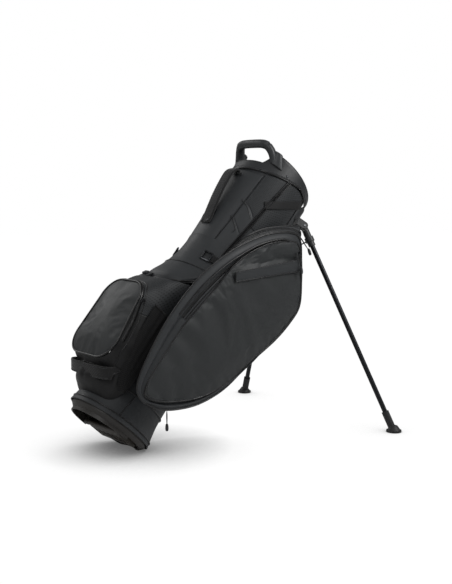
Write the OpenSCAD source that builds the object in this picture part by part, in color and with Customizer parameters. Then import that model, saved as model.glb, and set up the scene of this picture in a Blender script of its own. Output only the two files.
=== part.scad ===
// Golf stand bag, leaning on its open legs.
// The bag is drawn upright (x forward to the legs, y left, z up its axis)
// and in_bag() leans it, so the row's origin is the middle of the flat patch
// that the base rests on.

/* [Stance] */
// Lean of the bag's axis from upright, degrees
lean = 42; // [38:1:46]
// Distance of the front bottom edge of the base from the bag's axis
rest_edge = 91; // [88:1:95]
// Swing of each leg from stowed to open, degrees
leg_swing = 56.1; // [50:0.1:58]
// Turn of each leg's hinge away from straight forward, degrees
leg_skew = 30.7; // [26:0.1:34]

/* [Tube] */
// Radius of the base band
base_r = 110; // [107:1:113]
// Radius of the tube at its waist
waist_r = 100; // [98:1:103]
// Radius of the tube under the collar
top_r = 113; // [110:1:114]
// Length of the tube from base to collar seam at the front
tube_h = 806; // [800:1:812]
// Wall of the foam-backed tube
tube_wall = 3; // [2:0.5:4]

/* [Collar] */
// How far the collar stands out from the tube
collar_proud = 3; // [2.5:0.5:5]
// Wall of the collar
collar_wall = 9; // [7:0.5:10]
// Rise of the rim over the collar seam at the bag's axis
rim_rise = 44; // [42:1:48]
// Drop of the rim towards the front, as a slope
rim_slope = 0.152; // [0.1:0.01:0.2]
// Height of the collar at the front
collar_front_h = 22; // [18:1:26]
// Depth of the dip under the grab handle
dip_depth = 50; // [40:1:54]
// Half width of the dip
dip_half = 66; // [60:1:70]

/* [Grab handle] */
// Thickness of the grip
grip_d = 24; // [20:1:27]
// Height of the grip's top over the collar's seam at the front
grip_rise = 75; // [70:1:80]

/* [Dividers] */
// Thickness of the moulded divider bars
divider_bar = 8; // [6:0.5:10]
// Depth of the moulded divider
divider_h = 40; // [30:1:45]
// Thickness of the fabric divider sleeves
sleeve_t = 2; // [1.5:0.5:3]

/* [Base] */
// Height of the lip over the base plane
lip_h = 18; // [18:1:22]
// Drop of the lip under the spine side
lip_drop = 8; // [5:1:10]
// Wall of the base cup
cup_wall = 5; // [4:0.5:6]
// Height of the cup's floor
floor_s = 44; // [42:1:50]
// Height of the cup's wall
cup_h = 84; // [70:1:100]
// Half width of the foot paddle
paddle_half = 72; // [64:1:74]
// Radius of the paddle's hinge pin
paddle_pin_r = 3; // [2.5:0.5:4]

/* [Legs] */
// Diameter of the leg tubes
leg_d = 13.5; // [12:0.5:15]
// Diameter of the leg sockets
socket_d = 20; // [18:0.5:21]
// Length of the leg sockets
socket_l = 62; // [56:1:66]
// Distance of the leg pivots forward of the tube's skin
pivot_out = 20; // [18:1:22]
// Distance of the leg pivots to each side
pivot_y = 58; // [56:1:62]
// Drop of the leg pivots under the tube's top
pivot_drop = 15; // [13:1:17]
// Radius of the pivot pins
pivot_pin_r = 3; // [2.5:0.5:3.5]
// Diameter of the flared soles
sole_d = 42; // [36:1:46]
// Distance of the link clip down the leg
clip_l = 42; // [40:1:46]

/* [Actuator] */
// Radius of the actuator rods
rod_r = 2.5; // [2:0.1:3]
// Distance of the rods in from the inside of the tube and the cup
rod_in = 12.6; // [12:0.2:14]
// Drop of the open yoke under the leg pivots
yoke_drop = 151; // [148:1:154]
// Travel of the yoke from open to stowed
yoke_travel = 32; // [30:0.5:34]

/* [Pockets] */
// Distance of the near pocket's panel from the axis
near_pocket_y = 165; // [158:1:168]
// Distance of the far pocket's panel from the axis
far_pocket_y = 138; // [130:1:145]
// Half width of the ball pocket at its foot
ball_half = 100; // [96:1:103]
// Tilt of the ball pocket's panel to the axis, degrees
ball_tilt = 5.5; // [4:0.5:8]
// Length of the ball pocket's panel
ball_l = 222; // [214:1:228]
// Wall of the pockets
pocket_wall = 4; // [3:0.5:6]

/* [Carry handle] */
// Width of the carry handle's webbing
web_w = 38; // [32:1:44]
// Thickness of the padded webbing
web_t = 7; // [5:0.5:9]

/* [Hidden] */
$fn = 64;
gap = 0.4;               // running gap between separate pieces
hair = 0.05;             // radial clearance of a pin in its bore
big = 600;               // longer than any cut needs
sl = sin(lean);
cl = cos(lean);
lift = rest_edge * sl;                          // height of the base's centre over the floor
patch_s = (base_r * sl - lift) / cl;            // height where the floor meets the base band
rest_x = (rest_edge * cl + base_r * cl + patch_s * sl) / 2;
near = -1;
far = 1;
collar_r = top_r + collar_proud;
rim_s = tube_h + rim_rise;
tongue_s = tube_h - 48;                         // lowest point of the collar, on the spine
pivot_p = top_r + pivot_out;
pivot_s = tube_h - pivot_drop;
yoke_s = pivot_s - yoke_drop;
cup_inner = base_r - 5 - tube_wall - gap - cup_wall;
free_r = min(cup_inner, waist_r - tube_wall);   // room for rods and stays all the way up
rod_p = free_r - rod_in;

// Outer radius of the tube: height along the axis, radius
tube_profile = [[lip_h, base_r], [cup_h, base_r - 5], [170, waist_r + 3], [300, waist_r + 1],
    [480, waist_r], [tube_h - 206, waist_r + 5], [tube_h - 106, top_r - 3], [tube_h - 46, top_r - 0.5],
    [tube_h, top_r]];

// A point of the upright bag, in the leaned frame
function to_row(v) = [v.x * cl + v.z * sl - rest_x, v.y, lift - v.x * sl + v.z * cl];
function radius_at(s) = lookup(s, tube_profile);

// A closed smooth curve through a few points
function curve_point(a, b, c, d, t) = 0.5 * (2 * b + (c - a) * t
    + (2 * a - 5 * b + 4 * c - d) * t * t + (3 * b - a - 3 * c + d) * t * t * t);
function closed_curve(pts, steps) = let (n = len(pts)) [for (i = [0:n - 1], k = [0:steps - 1])
    curve_point(pts[(i + n - 1) % n], pts[i], pts[(i + 1) % n], pts[(i + 2) % n], k / steps)];
// An open smooth curve through a few points
function open_curve(pts, steps) = let (n = len(pts)) concat([for (i = [0:n - 2], k = [0:steps - 1])
    curve_point(pts[max(i - 1, 0)], pts[i], pts[i + 1], pts[min(i + 2, n - 1)], k / steps)],
    [pts[n - 1]]);

// A tube of one section swept along a path: rows of section points, closed by two end faces
module sweep(path, section, side) {
    n = len(section);
    m = len(path);
    function along(i) = let (d = path[min(i + 1, m - 1)] - path[max(i - 1, 0)]) d / norm(d);
    function across(i) = let (c = cross(side, along(i))) c / norm(c);
    rows = [for (i = [0:m - 1], q = section)
        path[i] + across(i) * q.x + cross(along(i), across(i)) * q.y];
    sides = [for (i = [0:m - 2], k = [0:n - 1]) each [
        [i * n + k, i * n + (k + 1) % n, (i + 1) * n + (k + 1) % n],
        [i * n + k, (i + 1) * n + (k + 1) % n, (i + 1) * n + k]]];
    ends = [[for (k = [n - 1:-1:0]) k], [for (k = [0:n - 1]) (m - 1) * n + k]];
    polyhedron(rows, concat(sides, ends), convexity = 8);
}

// The outline of a round or oval bar
function oval(w, t, n) = [for (k = [0:n - 1]) [w / 2 * cos(360 * k / n), t / 2 * sin(360 * k / n)]];
// The outline of a flat strap with rounded edges
function strap(w, t) = let (h = w / 2, e = t / 2) [[h, -e / 2], [h, e / 2], [h - e / 2, e],
    [e / 2 - h, e], [-h, e / 2], [-h, -e / 2], [e / 2 - h, -e], [h - e / 2, -e]];

module in_bag() {
    translate([-rest_x, 0, lift]) rotate([0, lean, 0]) children();
}

module under_floor() {
    translate([-big, -big, -big]) cube([2 * big, 2 * big, big]);
}

// The tube's outer skin as a solid, larger by a clearance
module tube_core(extra) {
    first = tube_profile[0];
    last = tube_profile[len(tube_profile) - 1];
    rotate_extrude($fn = 96) polygon(concat([[0, -20], [first[1] + extra, -20]],
        [for (q = tube_profile) [q[1] + extra, q[0]]],
        [[last[1] + extra, rim_s + 60], [0, rim_s + 60]]));
}

// Mirrors a piece to the far side when side is far
module on_side(side) {
    mirror([0, side == far ? 1 : 0, 0]) children();
}

/* Tube */
slot_half = 22;          // half width of the slot that the yoke slides in
slot_low = yoke_s - yoke_travel - 24;
slot_high = yoke_s + 16;

module body_shell() {
    color("#2b2c2e") in_bag() difference() {
        rotate_extrude($fn = 96) polygon(concat(
            [for (q = tube_profile) [q[1], q[0] + gap]],
            [for (i = [len(tube_profile) - 1:-1:0]) [tube_profile[i][1] - tube_wall, tube_profile[i][0] + gap]]));
        translate([waist_r - 20, -slot_half, slot_low]) cube([60, 2 * slot_half, slot_high - slot_low]);
    }
}

stay_y = 62;             // how far the stays sit to each side of the spine
module stay_rods() {
    stay_p = -sqrt(pow(free_r - 7.6, 2) - stay_y * stay_y);
    for (side = [near, far])
        color("#3c3d40") in_bag() translate([stay_p, side * stay_y, floor_s + gap])
            cylinder(d = 8, h = tube_h - floor_s - 60, $fn = 24);
}

/* Collar and handle */
seam_slope = 0.28;       // rise of the collar's seam from the spine to the front
seam_p = 12;             // where the seam turns down again
function rim_at(p) = rim_s - rim_slope * p;
function seam_at(p) = p < seam_p ? rim_at(seam_p) - collar_front_h - seam_slope * (seam_p - p)
    : rim_at(p) - collar_front_h;

module collar_ring(outer, inner) {
    difference() {
        cylinder(r = outer, h = big * 2, $fn = 96);
        translate([0, 0, -1]) cylinder(r = inner, h = big * 2 + 2, $fn = 96);
    }
}

// Everything between the collar's seam and its rim, seen from the side
module collar_band(low, high) {
    out = collar_r + 10;
    rotate([90, 0, 0]) translate([0, 0, -out]) linear_extrude(2 * out)
        polygon([[-out, seam_at(-out) + low], [seam_p, seam_at(seam_p) + low], [out, seam_at(out) + low],
            [out, rim_at(out) + high], [-out, rim_at(-out) + high]]);
}

// The hand dip at the spine, with round lower corners
module hand_dip() {
    round_r = 22;
    low = rim_at(-collar_r) - dip_depth;
    translate([-collar_r - 20, 0, 0]) rotate([90, 0, 90]) linear_extrude(80) union() {
        translate([-dip_half, low + round_r]) square([2 * dip_half, 120]);
        for (k = [-1, 1]) translate([k * (dip_half - round_r), low + round_r]) circle(r = round_r);
        translate([round_r - dip_half, low]) square([2 * (dip_half - round_r), round_r]);
    }
}

module collar() {
    tongue_half = 30;
    color("#242526") in_bag() difference() {
        union() {
            intersection() {
                collar_ring(collar_r, collar_r - collar_wall);
                difference() {
                    collar_band(0, 0);
                    translate([0, 0, tube_h + gap - 200]) cylinder(r = collar_r - 2.4, h = 200);
                }
            }
            intersection() {
                collar_ring(collar_r, top_r + gap);
                translate([-collar_r - 20, 0, 0]) rotate([90, 0, 90]) linear_extrude(80)
                    polygon([[-tongue_half, tongue_s], [tongue_half, tongue_s],
                        [dip_half, seam_at(-100) + 6], [-dip_half, seam_at(-100) + 6]]);
            }
        }
        hand_dip();
    }
}

rivet_places = [[169, tongue_s + 8], [147, tube_h - 10], [111, tube_h + 16]];
module collar_rivets() {
    for (side = [near, far], q = rivet_places) color("#1c1c1d") in_bag() rotate([0, 0, side * q[0]])
        translate([collar_r + 0.1, 0, q[1]]) rotate([0, 90, 0]) cylinder(d1 = 8, d2 = 5, h = 2, $fn = 24);
}

// The grip's centre line: up from one shoulder, across the spine, down to the other
root_p = -80;            // where the grip's roots stand on the collar
root_y = 73;
grip_s = tube_h + grip_rise - grip_d / 2;
grip_half_path = [[root_p, root_y, grip_s - 31], [-92, 71, grip_s - 19], [-106, 66, grip_s - 9],
    [-118, 57, grip_s - 3], [-124, 43, grip_s - 1], [-125, 20, grip_s]];

module grab_handle() {
    flip = [for (k = [len(grip_half_path) - 1:-1:0]) [grip_half_path[k].x, -grip_half_path[k].y, grip_half_path[k].z]];
    color("#1f2021") in_bag() difference() {
        sweep(open_curve(concat(grip_half_path, flip), 3), oval(grip_d, grip_d - 2, 14), [1, 0, 0]);
        intersection() {
            translate([0, 0, -5]) collar_ring(collar_r + gap, collar_r - collar_wall - gap);
            collar_band(-60, gap);
        }
        translate([0, 0, rim_s - 200]) cylinder(r = collar_r - collar_wall - 0.2, h = 196);
    }
}

module handle_screws() {
    for (side = [near, far]) color("#4a4b4d") in_bag() on_side(side)
        translate([-88, -root_y - 2, 866]) rotate([50, -30, 0])
            translate([0, 0, grip_d / 2]) cylinder(d = 6, h = 2, $fn = 24);
}

/* Dividers */
divider_top = 24;        // how far the divider lies under the rim
module divider_cross(half, t) {
    square([2 * half, t], center = true);
    square([t, 2 * half], center = true);
}

module top_divider() {
    ring_r = collar_r - collar_wall - gap;
    low = rim_at(ring_r) - divider_top - divider_h;
    color("#1b1b1c") in_bag() intersection() {
        translate([0, 0, tube_h + 2 * gap]) cylinder(r = ring_r, h = 200, $fn = 96);
        difference() {
            rotate([90, 0, 0]) translate([0, 0, -ring_r - 5]) linear_extrude(2 * ring_r + 10)
                polygon([[-ring_r, tube_h - 2], [ring_r, tube_h - 2],
                    [ring_r, rim_at(ring_r) - 4], [-ring_r, rim_at(-ring_r) - divider_top - 16]]);
            linear_extrude(2 * big) difference() {
                circle(r = ring_r - 5, $fn = 96);
                divider_cross(ring_r, divider_bar);
            }
        }
    }
}

module divider_sleeves() {
    sleeve_r = rod_p - 14;
    color("#151516") in_bag() translate([0, 0, floor_s + 6])
        linear_extrude(tube_h - floor_s - 8) divider_cross(sleeve_r, sleeve_t);
}

/* Base */
hinge_p = -6;            // paddle hinge, behind the middle
hinge_s = -1;
boss_r = 8;
paddle_r = rod_p + 6;
pad_gap = 1.4;           // play between the rods and the paddle's pads

module base_cup() {
    outer = radius_at(cup_h) - tube_wall - gap;
    inner = cup_inner;
    lip_r = base_r + 1;
    bevel = 10;          // slope round the bottom of the lip
    rib_t = 3;
    color("#1d1d1e") difference() {
        in_bag() difference() {
            union() {
                translate([0, 0, -lip_drop]) cylinder(r = lip_r - bevel, h = lip_drop + 1, $fn = 96);
                cylinder(r1 = lip_r - bevel, r2 = lip_r, h = bevel, $fn = 96);
                translate([0, 0, bevel - 0.01]) cylinder(r = lip_r, h = lip_h - bevel + 0.01, $fn = 96);
                cylinder(r = outer, h = cup_h, $fn = 96);
            }
            translate([0, 0, floor_s]) cylinder(r = inner, h = cup_h, $fn = 96);
            difference() {
                translate([0, 0, -lip_drop - 1]) cylinder(r = inner, h = floor_s - 4 + lip_drop + 1, $fn = 96);
                for (k = [-4:4]) rotate([0, 0, k * 18 + 180])
                    translate([34, -rib_t / 2, 10]) cube([inner, rib_t, floor_s]);
                for (side = [-1, 1]) intersection() {
                    translate([hinge_p, side * (paddle_half + 8), hinge_s]) rotate([90, 0, 0])
                        cylinder(r = boss_r, h = 12, center = true);
                    translate([hinge_p - 20, -big / 2, hinge_s - 20]) cube([40, big, 40]);
                }
                for (side = [-1, 1])
                    translate([hinge_p - boss_r, side * (paddle_half + 8) - 6, hinge_s])
                        cube([2 * boss_r, 12, floor_s]);
            }
            translate([4, -big / 2, -lip_drop - 1]) cube([big, big, lip_drop + 1]);
            for (side = [-1, 1]) translate([rod_p, side * rod_y, -1]) cylinder(r = rod_r + 1, h = big, $fn = 32);
            translate([hinge_p, 0, hinge_s]) rotate([90, 0, 0])
                cylinder(r = paddle_pin_r + hair, h = 2 * paddle_half + 30, center = true);
        }
        under_floor();
    }
}

module paddle_pin() {
    color("#8c8e90") in_bag() translate([hinge_p, 0, hinge_s]) rotate([90, 0, 0])
        cylinder(r = paddle_pin_r, h = 2 * paddle_half + 26, center = true);
}

module foot_paddle() {
    toe_p = 50;          // where the sole turns up towards the front
    tip_s = 17;
    color("#26241f") in_bag() difference() {
        intersection() {
            union() {
                rotate([90, 0, 0]) translate([0, 0, -paddle_half]) linear_extrude(2 * paddle_half)
                    polygon([[hinge_p + boss_r, hinge_s - 6], [toe_p, -lip_drop + 1], [paddle_r, tip_s - 6],
                        [paddle_r, tip_s], [toe_p, 4], [hinge_p, hinge_s + 6]]);
                translate([hinge_p, 0, hinge_s]) rotate([90, 0, 0])
                    cylinder(r = boss_r - 1, h = 2 * paddle_half, center = true);
                for (side = [-1, 1]) translate([rod_p, side * rod_y, 8]) cylinder(r = 6, h = rod_low - 8 - pad_gap);
            }
            translate([0, 0, -50]) cylinder(r = paddle_r, h = 200, $fn = 96);
        }
        translate([hinge_p, 0, hinge_s]) rotate([90, 0, 0])
            cylinder(r = paddle_pin_r + hair, h = big, center = true);
        for (k = [-3:3]) translate([hinge_p + 16, k * 20 - 6, -30]) cube([26, 12, 28]);
    }
}

/* Actuator */
rod_y = 14;
rod_low = 24;            // lower end of the rods, just over the paddle's pads
yoke_p = top_r + 5;      // where the links hang on the yoke
link_r = 2;
eye_r = 3;               // ball at the foot of each link

module actuator_rods() {
    color("#9a9c9e") in_bag() union() {
        for (side = [-1, 1]) translate([rod_p, side * rod_y, rod_low])
            cylinder(r = rod_r, h = yoke_s - rod_low, $fn = 24);
        translate([rod_p - 5, -rod_y - 5, yoke_s - 8]) cube([yoke_p - rod_p - 3, 2 * rod_y + 10, 8]);
        for (side = [-1, 1]) translate([yoke_p - eye_r - gap - 8, side * rod_y - 4, yoke_s - 8]) cube([8, 8, 12]);
    }
}

module actuator_guide() {
    color("#1b1b1c") in_bag() difference() {
        translate([rod_p - 7, -rod_y - 9, 330]) cube([16, 2 * rod_y + 18, 24]);
        for (side = [-1, 1]) translate([rod_p, side * rod_y, 300]) cylinder(r = rod_r + hair, h = 90, $fn = 24);
    }
}

// The direction of an open leg in the upright bag, and the turn that opens it
open_dir = [sin(leg_swing) * cos(leg_skew), -sin(leg_swing) * sin(leg_skew), -cos(leg_swing)];
hinge_axis = [-sin(leg_skew), -cos(leg_skew), 0];
pivot = [pivot_p, -pivot_y, pivot_s];
leg_l = to_row(pivot).z / -(to_row(open_dir).z - to_row([0, 0, 0]).z);

// Puts children drawn for a stowed near leg (down -z from the pivot) where the open leg is
module at_leg(side) {
    in_bag() on_side(side) translate(pivot) rotate(a = leg_swing, v = hinge_axis)
        rotate([0, 0, -leg_skew]) children();
}

clip_side = 17;          // the clip's ear beside the tube
link_start = [yoke_p, -rod_y, yoke_s];
function turned(v, a) = [v.x * cos(a) - v.z * sin(a), v.y, v.x * sin(a) + v.z * cos(a)];
function skewed(v) = [v.x * cos(leg_skew) + v.y * sin(leg_skew), v.y * cos(leg_skew) - v.x * sin(leg_skew), v.z];
link_end = pivot + skewed(turned([0, clip_side, -clip_l], leg_swing));

module link(side) {
    along = (link_end - link_start) / norm(link_end - link_start);
    color("#8c8e90") in_bag() on_side(side) union() {
        translate(link_start) rotate([0, acos(along.z), atan2(along.y, along.x)])
            cylinder(r = link_r, h = norm(link_end - link_start), $fn = 24);
        translate(link_start) sphere(r = eye_r, $fn = 24);
    }
}

/* Legs */
ear_t = 5;
eye_t = 12;
module leg_bracket() {
    low = pivot_s - 23;
    plate_in = top_r + gap;
    plate_out = top_r + 7;
    high = rim_at(collar_r) - collar_front_h - gap;
    color("#222324") in_bag() difference() {
        union() {
            intersection() {
                difference() {
                    translate([0, 0, low]) cylinder(r = plate_out, h = high - low, $fn = 96);
                    translate([0, 0, low - 1]) cylinder(r = plate_in, h = high, $fn = 96);
                }
                translate([0, -90, low]) cube([150, 180, 60]);
            }
            for (side = [near, far]) on_side(side) translate(pivot) rotate([0, 0, -leg_skew])
                for (k = [-1, 1]) translate([0, k * (eye_t / 2 + gap + ear_t / 2), 0]) difference() {
                    union() {
                        rotate([90, 0, 0]) cylinder(r = 10, h = ear_t, center = true);
                        translate([-34, -ear_t / 2, -10]) cube([34, ear_t, 20]);
                    }
                    rotate([90, 0, 0]) cylinder(r = pivot_pin_r + hair, h = 20, center = true);
                }
        }
        translate([0, 0, low - 1]) cylinder(r = plate_in, h = 80, $fn = 96);
    }
}

module pivot_pins() {
    length = eye_t + 2 * (gap + ear_t) + 3;
    for (side = [near, far]) color("#9a9c9e") in_bag() on_side(side) translate(pivot) rotate([0, 0, -leg_skew])
        rotate([90, 0, 0]) cylinder(r = pivot_pin_r, h = length, center = true, $fn = 32);
}

module leg_socket(side) {
    color("#232425") at_leg(side) difference() {
        union() {
            rotate([90, 0, 0]) cylinder(r = 9, h = eye_t, center = true);
            translate([-8, -eye_t / 2, -16]) cube([16, eye_t, 16]);
            translate([0, 0, -socket_l]) cylinder(d = socket_d, h = socket_l - 14);
        }
        rotate([90, 0, 0]) cylinder(r = pivot_pin_r + hair, h = 30, center = true);
        translate([0, 0, -socket_l - 1]) cylinder(d = leg_d + 2 * hair, h = 40);
    }
}

module leg_tube(side) {
    color("#3a3b3d") at_leg(side) difference() {
        translate([0, 0, 26 - leg_l]) cylinder(d = leg_d, h = leg_l - 26 - socket_l + 38);
        translate([0, 0, 24 - leg_l]) cylinder(d = leg_d - 2.4, h = leg_l);
    }
}

foot_boot_l = 60;
module leg_foot(side) {
    foot = to_row(pivot + open_dir * leg_l);
    color("#161617") difference() {
        union() {
            translate([foot.x, side * abs(foot.y), 0]) cylinder(d = sole_d, h = 5);
            translate([foot.x, side * abs(foot.y), 5]) cylinder(d1 = sole_d - 4, d2 = 20, h = 12);
            at_leg(side) translate([0, 0, 6 - leg_l]) cylinder(d = 20, h = foot_boot_l - 6);
        }
        at_leg(side) translate([0, 0, 26 - gap - leg_l]) cylinder(d = leg_d + 2 * hair, h = leg_l);
        under_floor();
    }
}

module leg_clip(side) {
    clip_h = 14;
    color("#1b1b1c") at_leg(side) difference() {
        union() {
            translate([0, 0, -clip_l - clip_h / 2]) cylinder(d = socket_d + 6, h = clip_h);
            translate([-4, 0, -clip_l - 4]) cube([8, clip_side - 1 - link_r, 8]);
        }
        translate([0, 0, -clip_l - clip_h]) cylinder(d = socket_d + 2 * hair, h = 2 * clip_h);
    }
}

/* Ball pocket */
ball_foot = [-170, 0, 110];
ball_taper = 14;         // how much narrower the panel's top is, each side
ball_corner = 57;        // radius of the panel's corners
root_taper = 18;         // how much narrower the pocket is against the tube
module at_ball_panel() {
    translate(ball_foot) rotate([0, -ball_tilt, 0]) children();
}

// A flat plate with round corners, facing the spine side: half width low and high, height range
module panel_plate(low_half, high_half, from, to, r, t) {
    hull() for (k = [-1, 1]) {
        translate([0, k * (low_half - r), from + r]) rotate([0, 90, 0]) cylinder(r = r, h = t, $fn = 32);
        translate([0, k * (high_half - r), to - r]) rotate([0, 90, 0]) cylinder(r = r, h = t, $fn = 32);
    }
}

module ball_box(shrink) {
    hull() {
        at_ball_panel() panel_plate(ball_half - shrink, ball_half - ball_taper - shrink, shrink,
            ball_l - shrink, ball_corner - 2, 2);
        translate([-60, 0, 0]) panel_plate(ball_half - root_taper - shrink, ball_half - root_taper + 4 - shrink,
            66 + shrink, 392 - shrink, 24, 2);
    }
}

module ball_pocket() {
    color("#202122") in_bag() difference() {
        ball_box(0);
        intersection() {
            ball_box(pocket_wall);
            translate([-big, -big / 2, 0]) cube([big - radius_at(200) - 8, big, big]);
        }
        at_ball_panel() translate([-4, 0, 0])
            panel_plate(ball_half - 8, ball_half - ball_taper - 8, 8, ball_l - 8, ball_corner - 10, 12);
        tube_core(gap);
    }
}

module ball_flap() {
    color("#2c2d2f") in_bag() at_ball_panel() translate([-7 - gap, 0, 0])
        panel_plate(ball_half - 1, ball_half - ball_taper - 1, 1, ball_l - 1, ball_corner, 6);
}

module ball_zip_slider() {
    color("#3a3b3d") in_bag() at_ball_panel() translate([-4, ball_taper - ball_half - 4.7, ball_l - ball_corner]) cube([8, 4, 14]);
}

/* Saddle and spine panel */
saddle_profile = [[384, 143], [391, 142], [420, 129], [444, 120], [471, 112], [500, 107.5], [540, 104.5], [560, 103.5]];
saddle_half = 54;        // how far the saddle reaches round from the spine, degrees

module saddle() {
    color("#2a2b2d") in_bag() difference() {
        rotate([0, 0, 180 - saddle_half]) rotate_extrude(angle = 2 * saddle_half, $fn = 96)
            polygon(concat([[90, 384]], [for (q = saddle_profile) [q[1], q[0]]], [[90, 560]]));
        ball_room();
        tube_core(gap);
    }
}

spine_t = 2.5;           // thickness of the panel sewn over the spine
module spine_panel() {
    low = tongue_s - 196;
    high = tongue_s - gap;
    color("#2a2b2d") in_bag() intersection() {
        difference() {
            tube_core(spine_t);
            tube_core(gap);
        }
        rotate([90, 0, -90]) translate([0, 0, 60]) linear_extrude(80)
            polygon([[-48, low], [48, low], [62, high], [-62, high]]);
    }
}

/* Side pockets */
near_outline = [[-62, 92], [0, 106], [55, 160], [104, 250], [148, 358], [196, 480], [201, 552],
    [133, 638], [66, 690], [7, 669], [-45, 605], [-92, 518], [-124, 410], [-132, 290], [-118, 180], [-94, 112]];
far_outline = [[-30, 130], [20, 150], [75, 230], [112, 330], [128, 420], [112, 490], [60, 530], [0, 520],
    [-36, 440], [-44, 300]];

// A slab standing at y, its outline drawn in the x and z of the bag
module side_slab(outline, size, centre, y, t) {
    translate([0, y, 0]) rotate([90, 0, 0]) linear_extrude(t)
        translate(centre) scale(size) translate(-centre) polygon(closed_curve(outline, 3));
}

module side_pocket(outline, y, root_y, root_size) {
    centre = [30, 400];
    difference() {
        hull() {
            side_slab(outline, 1, centre, -y + 8, 2);
            side_slab(outline, 0.96, centre, -(y + root_y) / 2, 2);
            side_slab(outline, root_size, centre, -root_y, 2);
        }
        tube_core(gap);
        ball_room();
        sleeve_form(2);
        saddle_room();
        tab_form(2);
    }
}

module near_pocket() {
    color("#1e1f20") in_bag() side_pocket(near_outline, near_pocket_y, 72, 0.62);
}

module near_pocket_panel() {
    color("#2b2c2e") in_bag() hull() {
        side_slab(near_outline, 0.985, [30, 400], -near_pocket_y + 6 - gap, 2);
        side_slab(near_outline, 0.88, [30, 400], -near_pocket_y - 1, 2);
    }
}

module near_pocket_band() {
    color("#252627") in_bag() intersection() {
        side_slab(near_outline, 0.9, [30, 400], -near_pocket_y - 3 - gap, 3);
        rotate([90, 0, 0]) linear_extrude(2 * big, center = true)
            polygon([[-63, 476], [97, 649], [118, 626], [-47, 458]]);
    }
}

module far_pocket() {
    color("#1e1f20") in_bag() mirror([0, 1, 0]) side_pocket(far_outline, far_pocket_y, 72, 0.7);
}

module far_pocket_panel() {
    color("#2b2c2e") in_bag() mirror([0, 1, 0]) hull() {
        side_slab(far_outline, 0.985, [30, 340], -far_pocket_y + 6 - gap, 2);
        side_slab(far_outline, 0.88, [30, 340], -far_pocket_y - 1, 2);
    }
}

// The saddle's space with a clearance round it
module saddle_room() {
    rotate([0, 0, 178 - saddle_half]) rotate_extrude(angle = 2 * saddle_half + 4, $fn = 96)
        polygon(concat([[80, 383]], [for (q = saddle_profile) [q[1] + gap, q[0]]], [[80, 561]]));
}

/* Bottle sleeves between the ball pocket and the side pockets */
module sleeve_form(extra) {
    hull() {
        translate([-80, -92, 94]) cylinder(r = 20 + extra, h = 2, $fn = 32);
        translate([-84, -96, 296]) cylinder(r = 26 + extra, h = 2, $fn = 32);
    }
}

module bottle_sleeve(side) {
    color("#121213") in_bag() on_side(side) difference() {
        sleeve_form(0);
        hull() {
            translate([-80, -92, 98]) cylinder(r = 17, h = 2, $fn = 32);
            translate([-84, -96, 299]) cylinder(r = 23, h = 2, $fn = 32);
        }
        tube_core(gap);
        ball_room();
    }
}

// The ball pocket's space with a clearance round it
module ball_room() {
    hull() {
        at_ball_panel() panel_plate(ball_half + 1, ball_half - ball_taper + 1, -1, ball_l + 1, ball_corner - 2, 3);
        translate([-60, 0, 0]) panel_plate(ball_half - root_taper + 1, ball_half - root_taper + 5, 65, 393, 24, 3);
    }
}

/* Soft handles, tabs and rings */
module carry_handle() {
    low = tongue_s - 184;
    start = radius_at(low) + spine_t + web_t / 2 + gap;
    path = open_curve([[-start, 0, low], [-start - 0.5, 0, low + 16], [-top_r - 9, 0, low + 32],
        [-top_r - 17, 0, low + 66], [-top_r - 21, 0, low + 114], [-top_r - 19.5, 0, low + 144],
        [-top_r - 14, 0, low + 162], [-top_r - 6.5, 0, low + 167.5], [-top_r, 0, low + 167]], 4);
    color("#1c1d1e") in_bag() difference() {
        sweep(path, strap(web_w, web_t), [1, 0, 0]);
        tube_core(spine_t + gap);
    }
}

module carry_rivets() {
    color("#4a4b4d") in_bag() for (k = [-1, 1])
        translate([-radius_at(tongue_s - 178) - spine_t - web_t - 2 * gap, k * (web_w / 2 - 7), tongue_s - 177])
            rotate([0, -90, 0]) cylinder(d = 6, h = 1.6, $fn = 24);
}

module low_handle() {
    path = open_curve([[-123, 84, 102], [-132, 89, 97], [-143, 84, 88], [-151, 56, 82], [-153, 0, 80],
        [-151, -56, 82], [-143, -84, 88], [-132, -89, 97], [-123, -84, 102]], 3);
    color("#1a1a1b") in_bag() sweep(path, strap(32, 4), [cl, 0, sl]);
}

ring_s = 503;            // height of the strap rings
ring_angle = 141;        // how far round from the front they sit
ring_r = 110;
ring_w = 28;
tab_l = 22;              // visible length of the webbing that holds a ring
module tab_form(extra) {
    rotate([0, 0, -ring_angle]) translate([ring_r - extra, ring_w / 2 + 2 - extra, ring_s - 11 - extra])
        cube([4 + 2 * extra, tab_l + 2 * extra, 22 + 2 * extra]);
}

module strap_tabs() {
    for (side = [near, far]) color("#161617") in_bag() on_side(side) tab_form(0);
}

module strap_ring(side) {
    bar = 4;
    color("#5a5b5d") in_bag() on_side(side) rotate([0, 0, -ring_angle])
        translate([ring_r + 2, 0, ring_s]) difference() {
            cube([bar, ring_w, ring_w], center = true);
            cube([bar + 2, ring_w - 2 * bar, ring_w - 2 * bar], center = true);
        }
}

module elastic_band() {
    color("#121213") in_bag() intersection() {
        difference() {
            translate([0, 0, tube_h - 116]) cylinder(r = top_r + 3, h = 90, $fn = 96);
            translate([0, 0, tube_h - 206]) cylinder(r = top_r + gap, h = 200, $fn = 96);
        }
        translate([0, 0, tube_h]) rotate([90, 0, 0]) linear_extrude(big)
            polygon([[-41, -100], [46, -10], [66, -26], [-28, -122]]);
    }
}

/* Zipper sliders and pulls */
module slider_at(place, tilt) {
    color("#4a4b4d") in_bag() translate(place) rotate([0, tilt, 0]) cube([8, 4, 16], center = true);
}

module pull_at(place, tilt) {
    color("#111112") in_bag() translate(place) rotate([0, tilt, 0]) union() {
        translate([0, 0, -34]) cylinder(d = 2.4, h = 34, $fn = 16);
        translate([0, 0, -52]) cylinder(d1 = 7, d2 = 4, h = 20, $fn = 16);
    }
}

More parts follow.
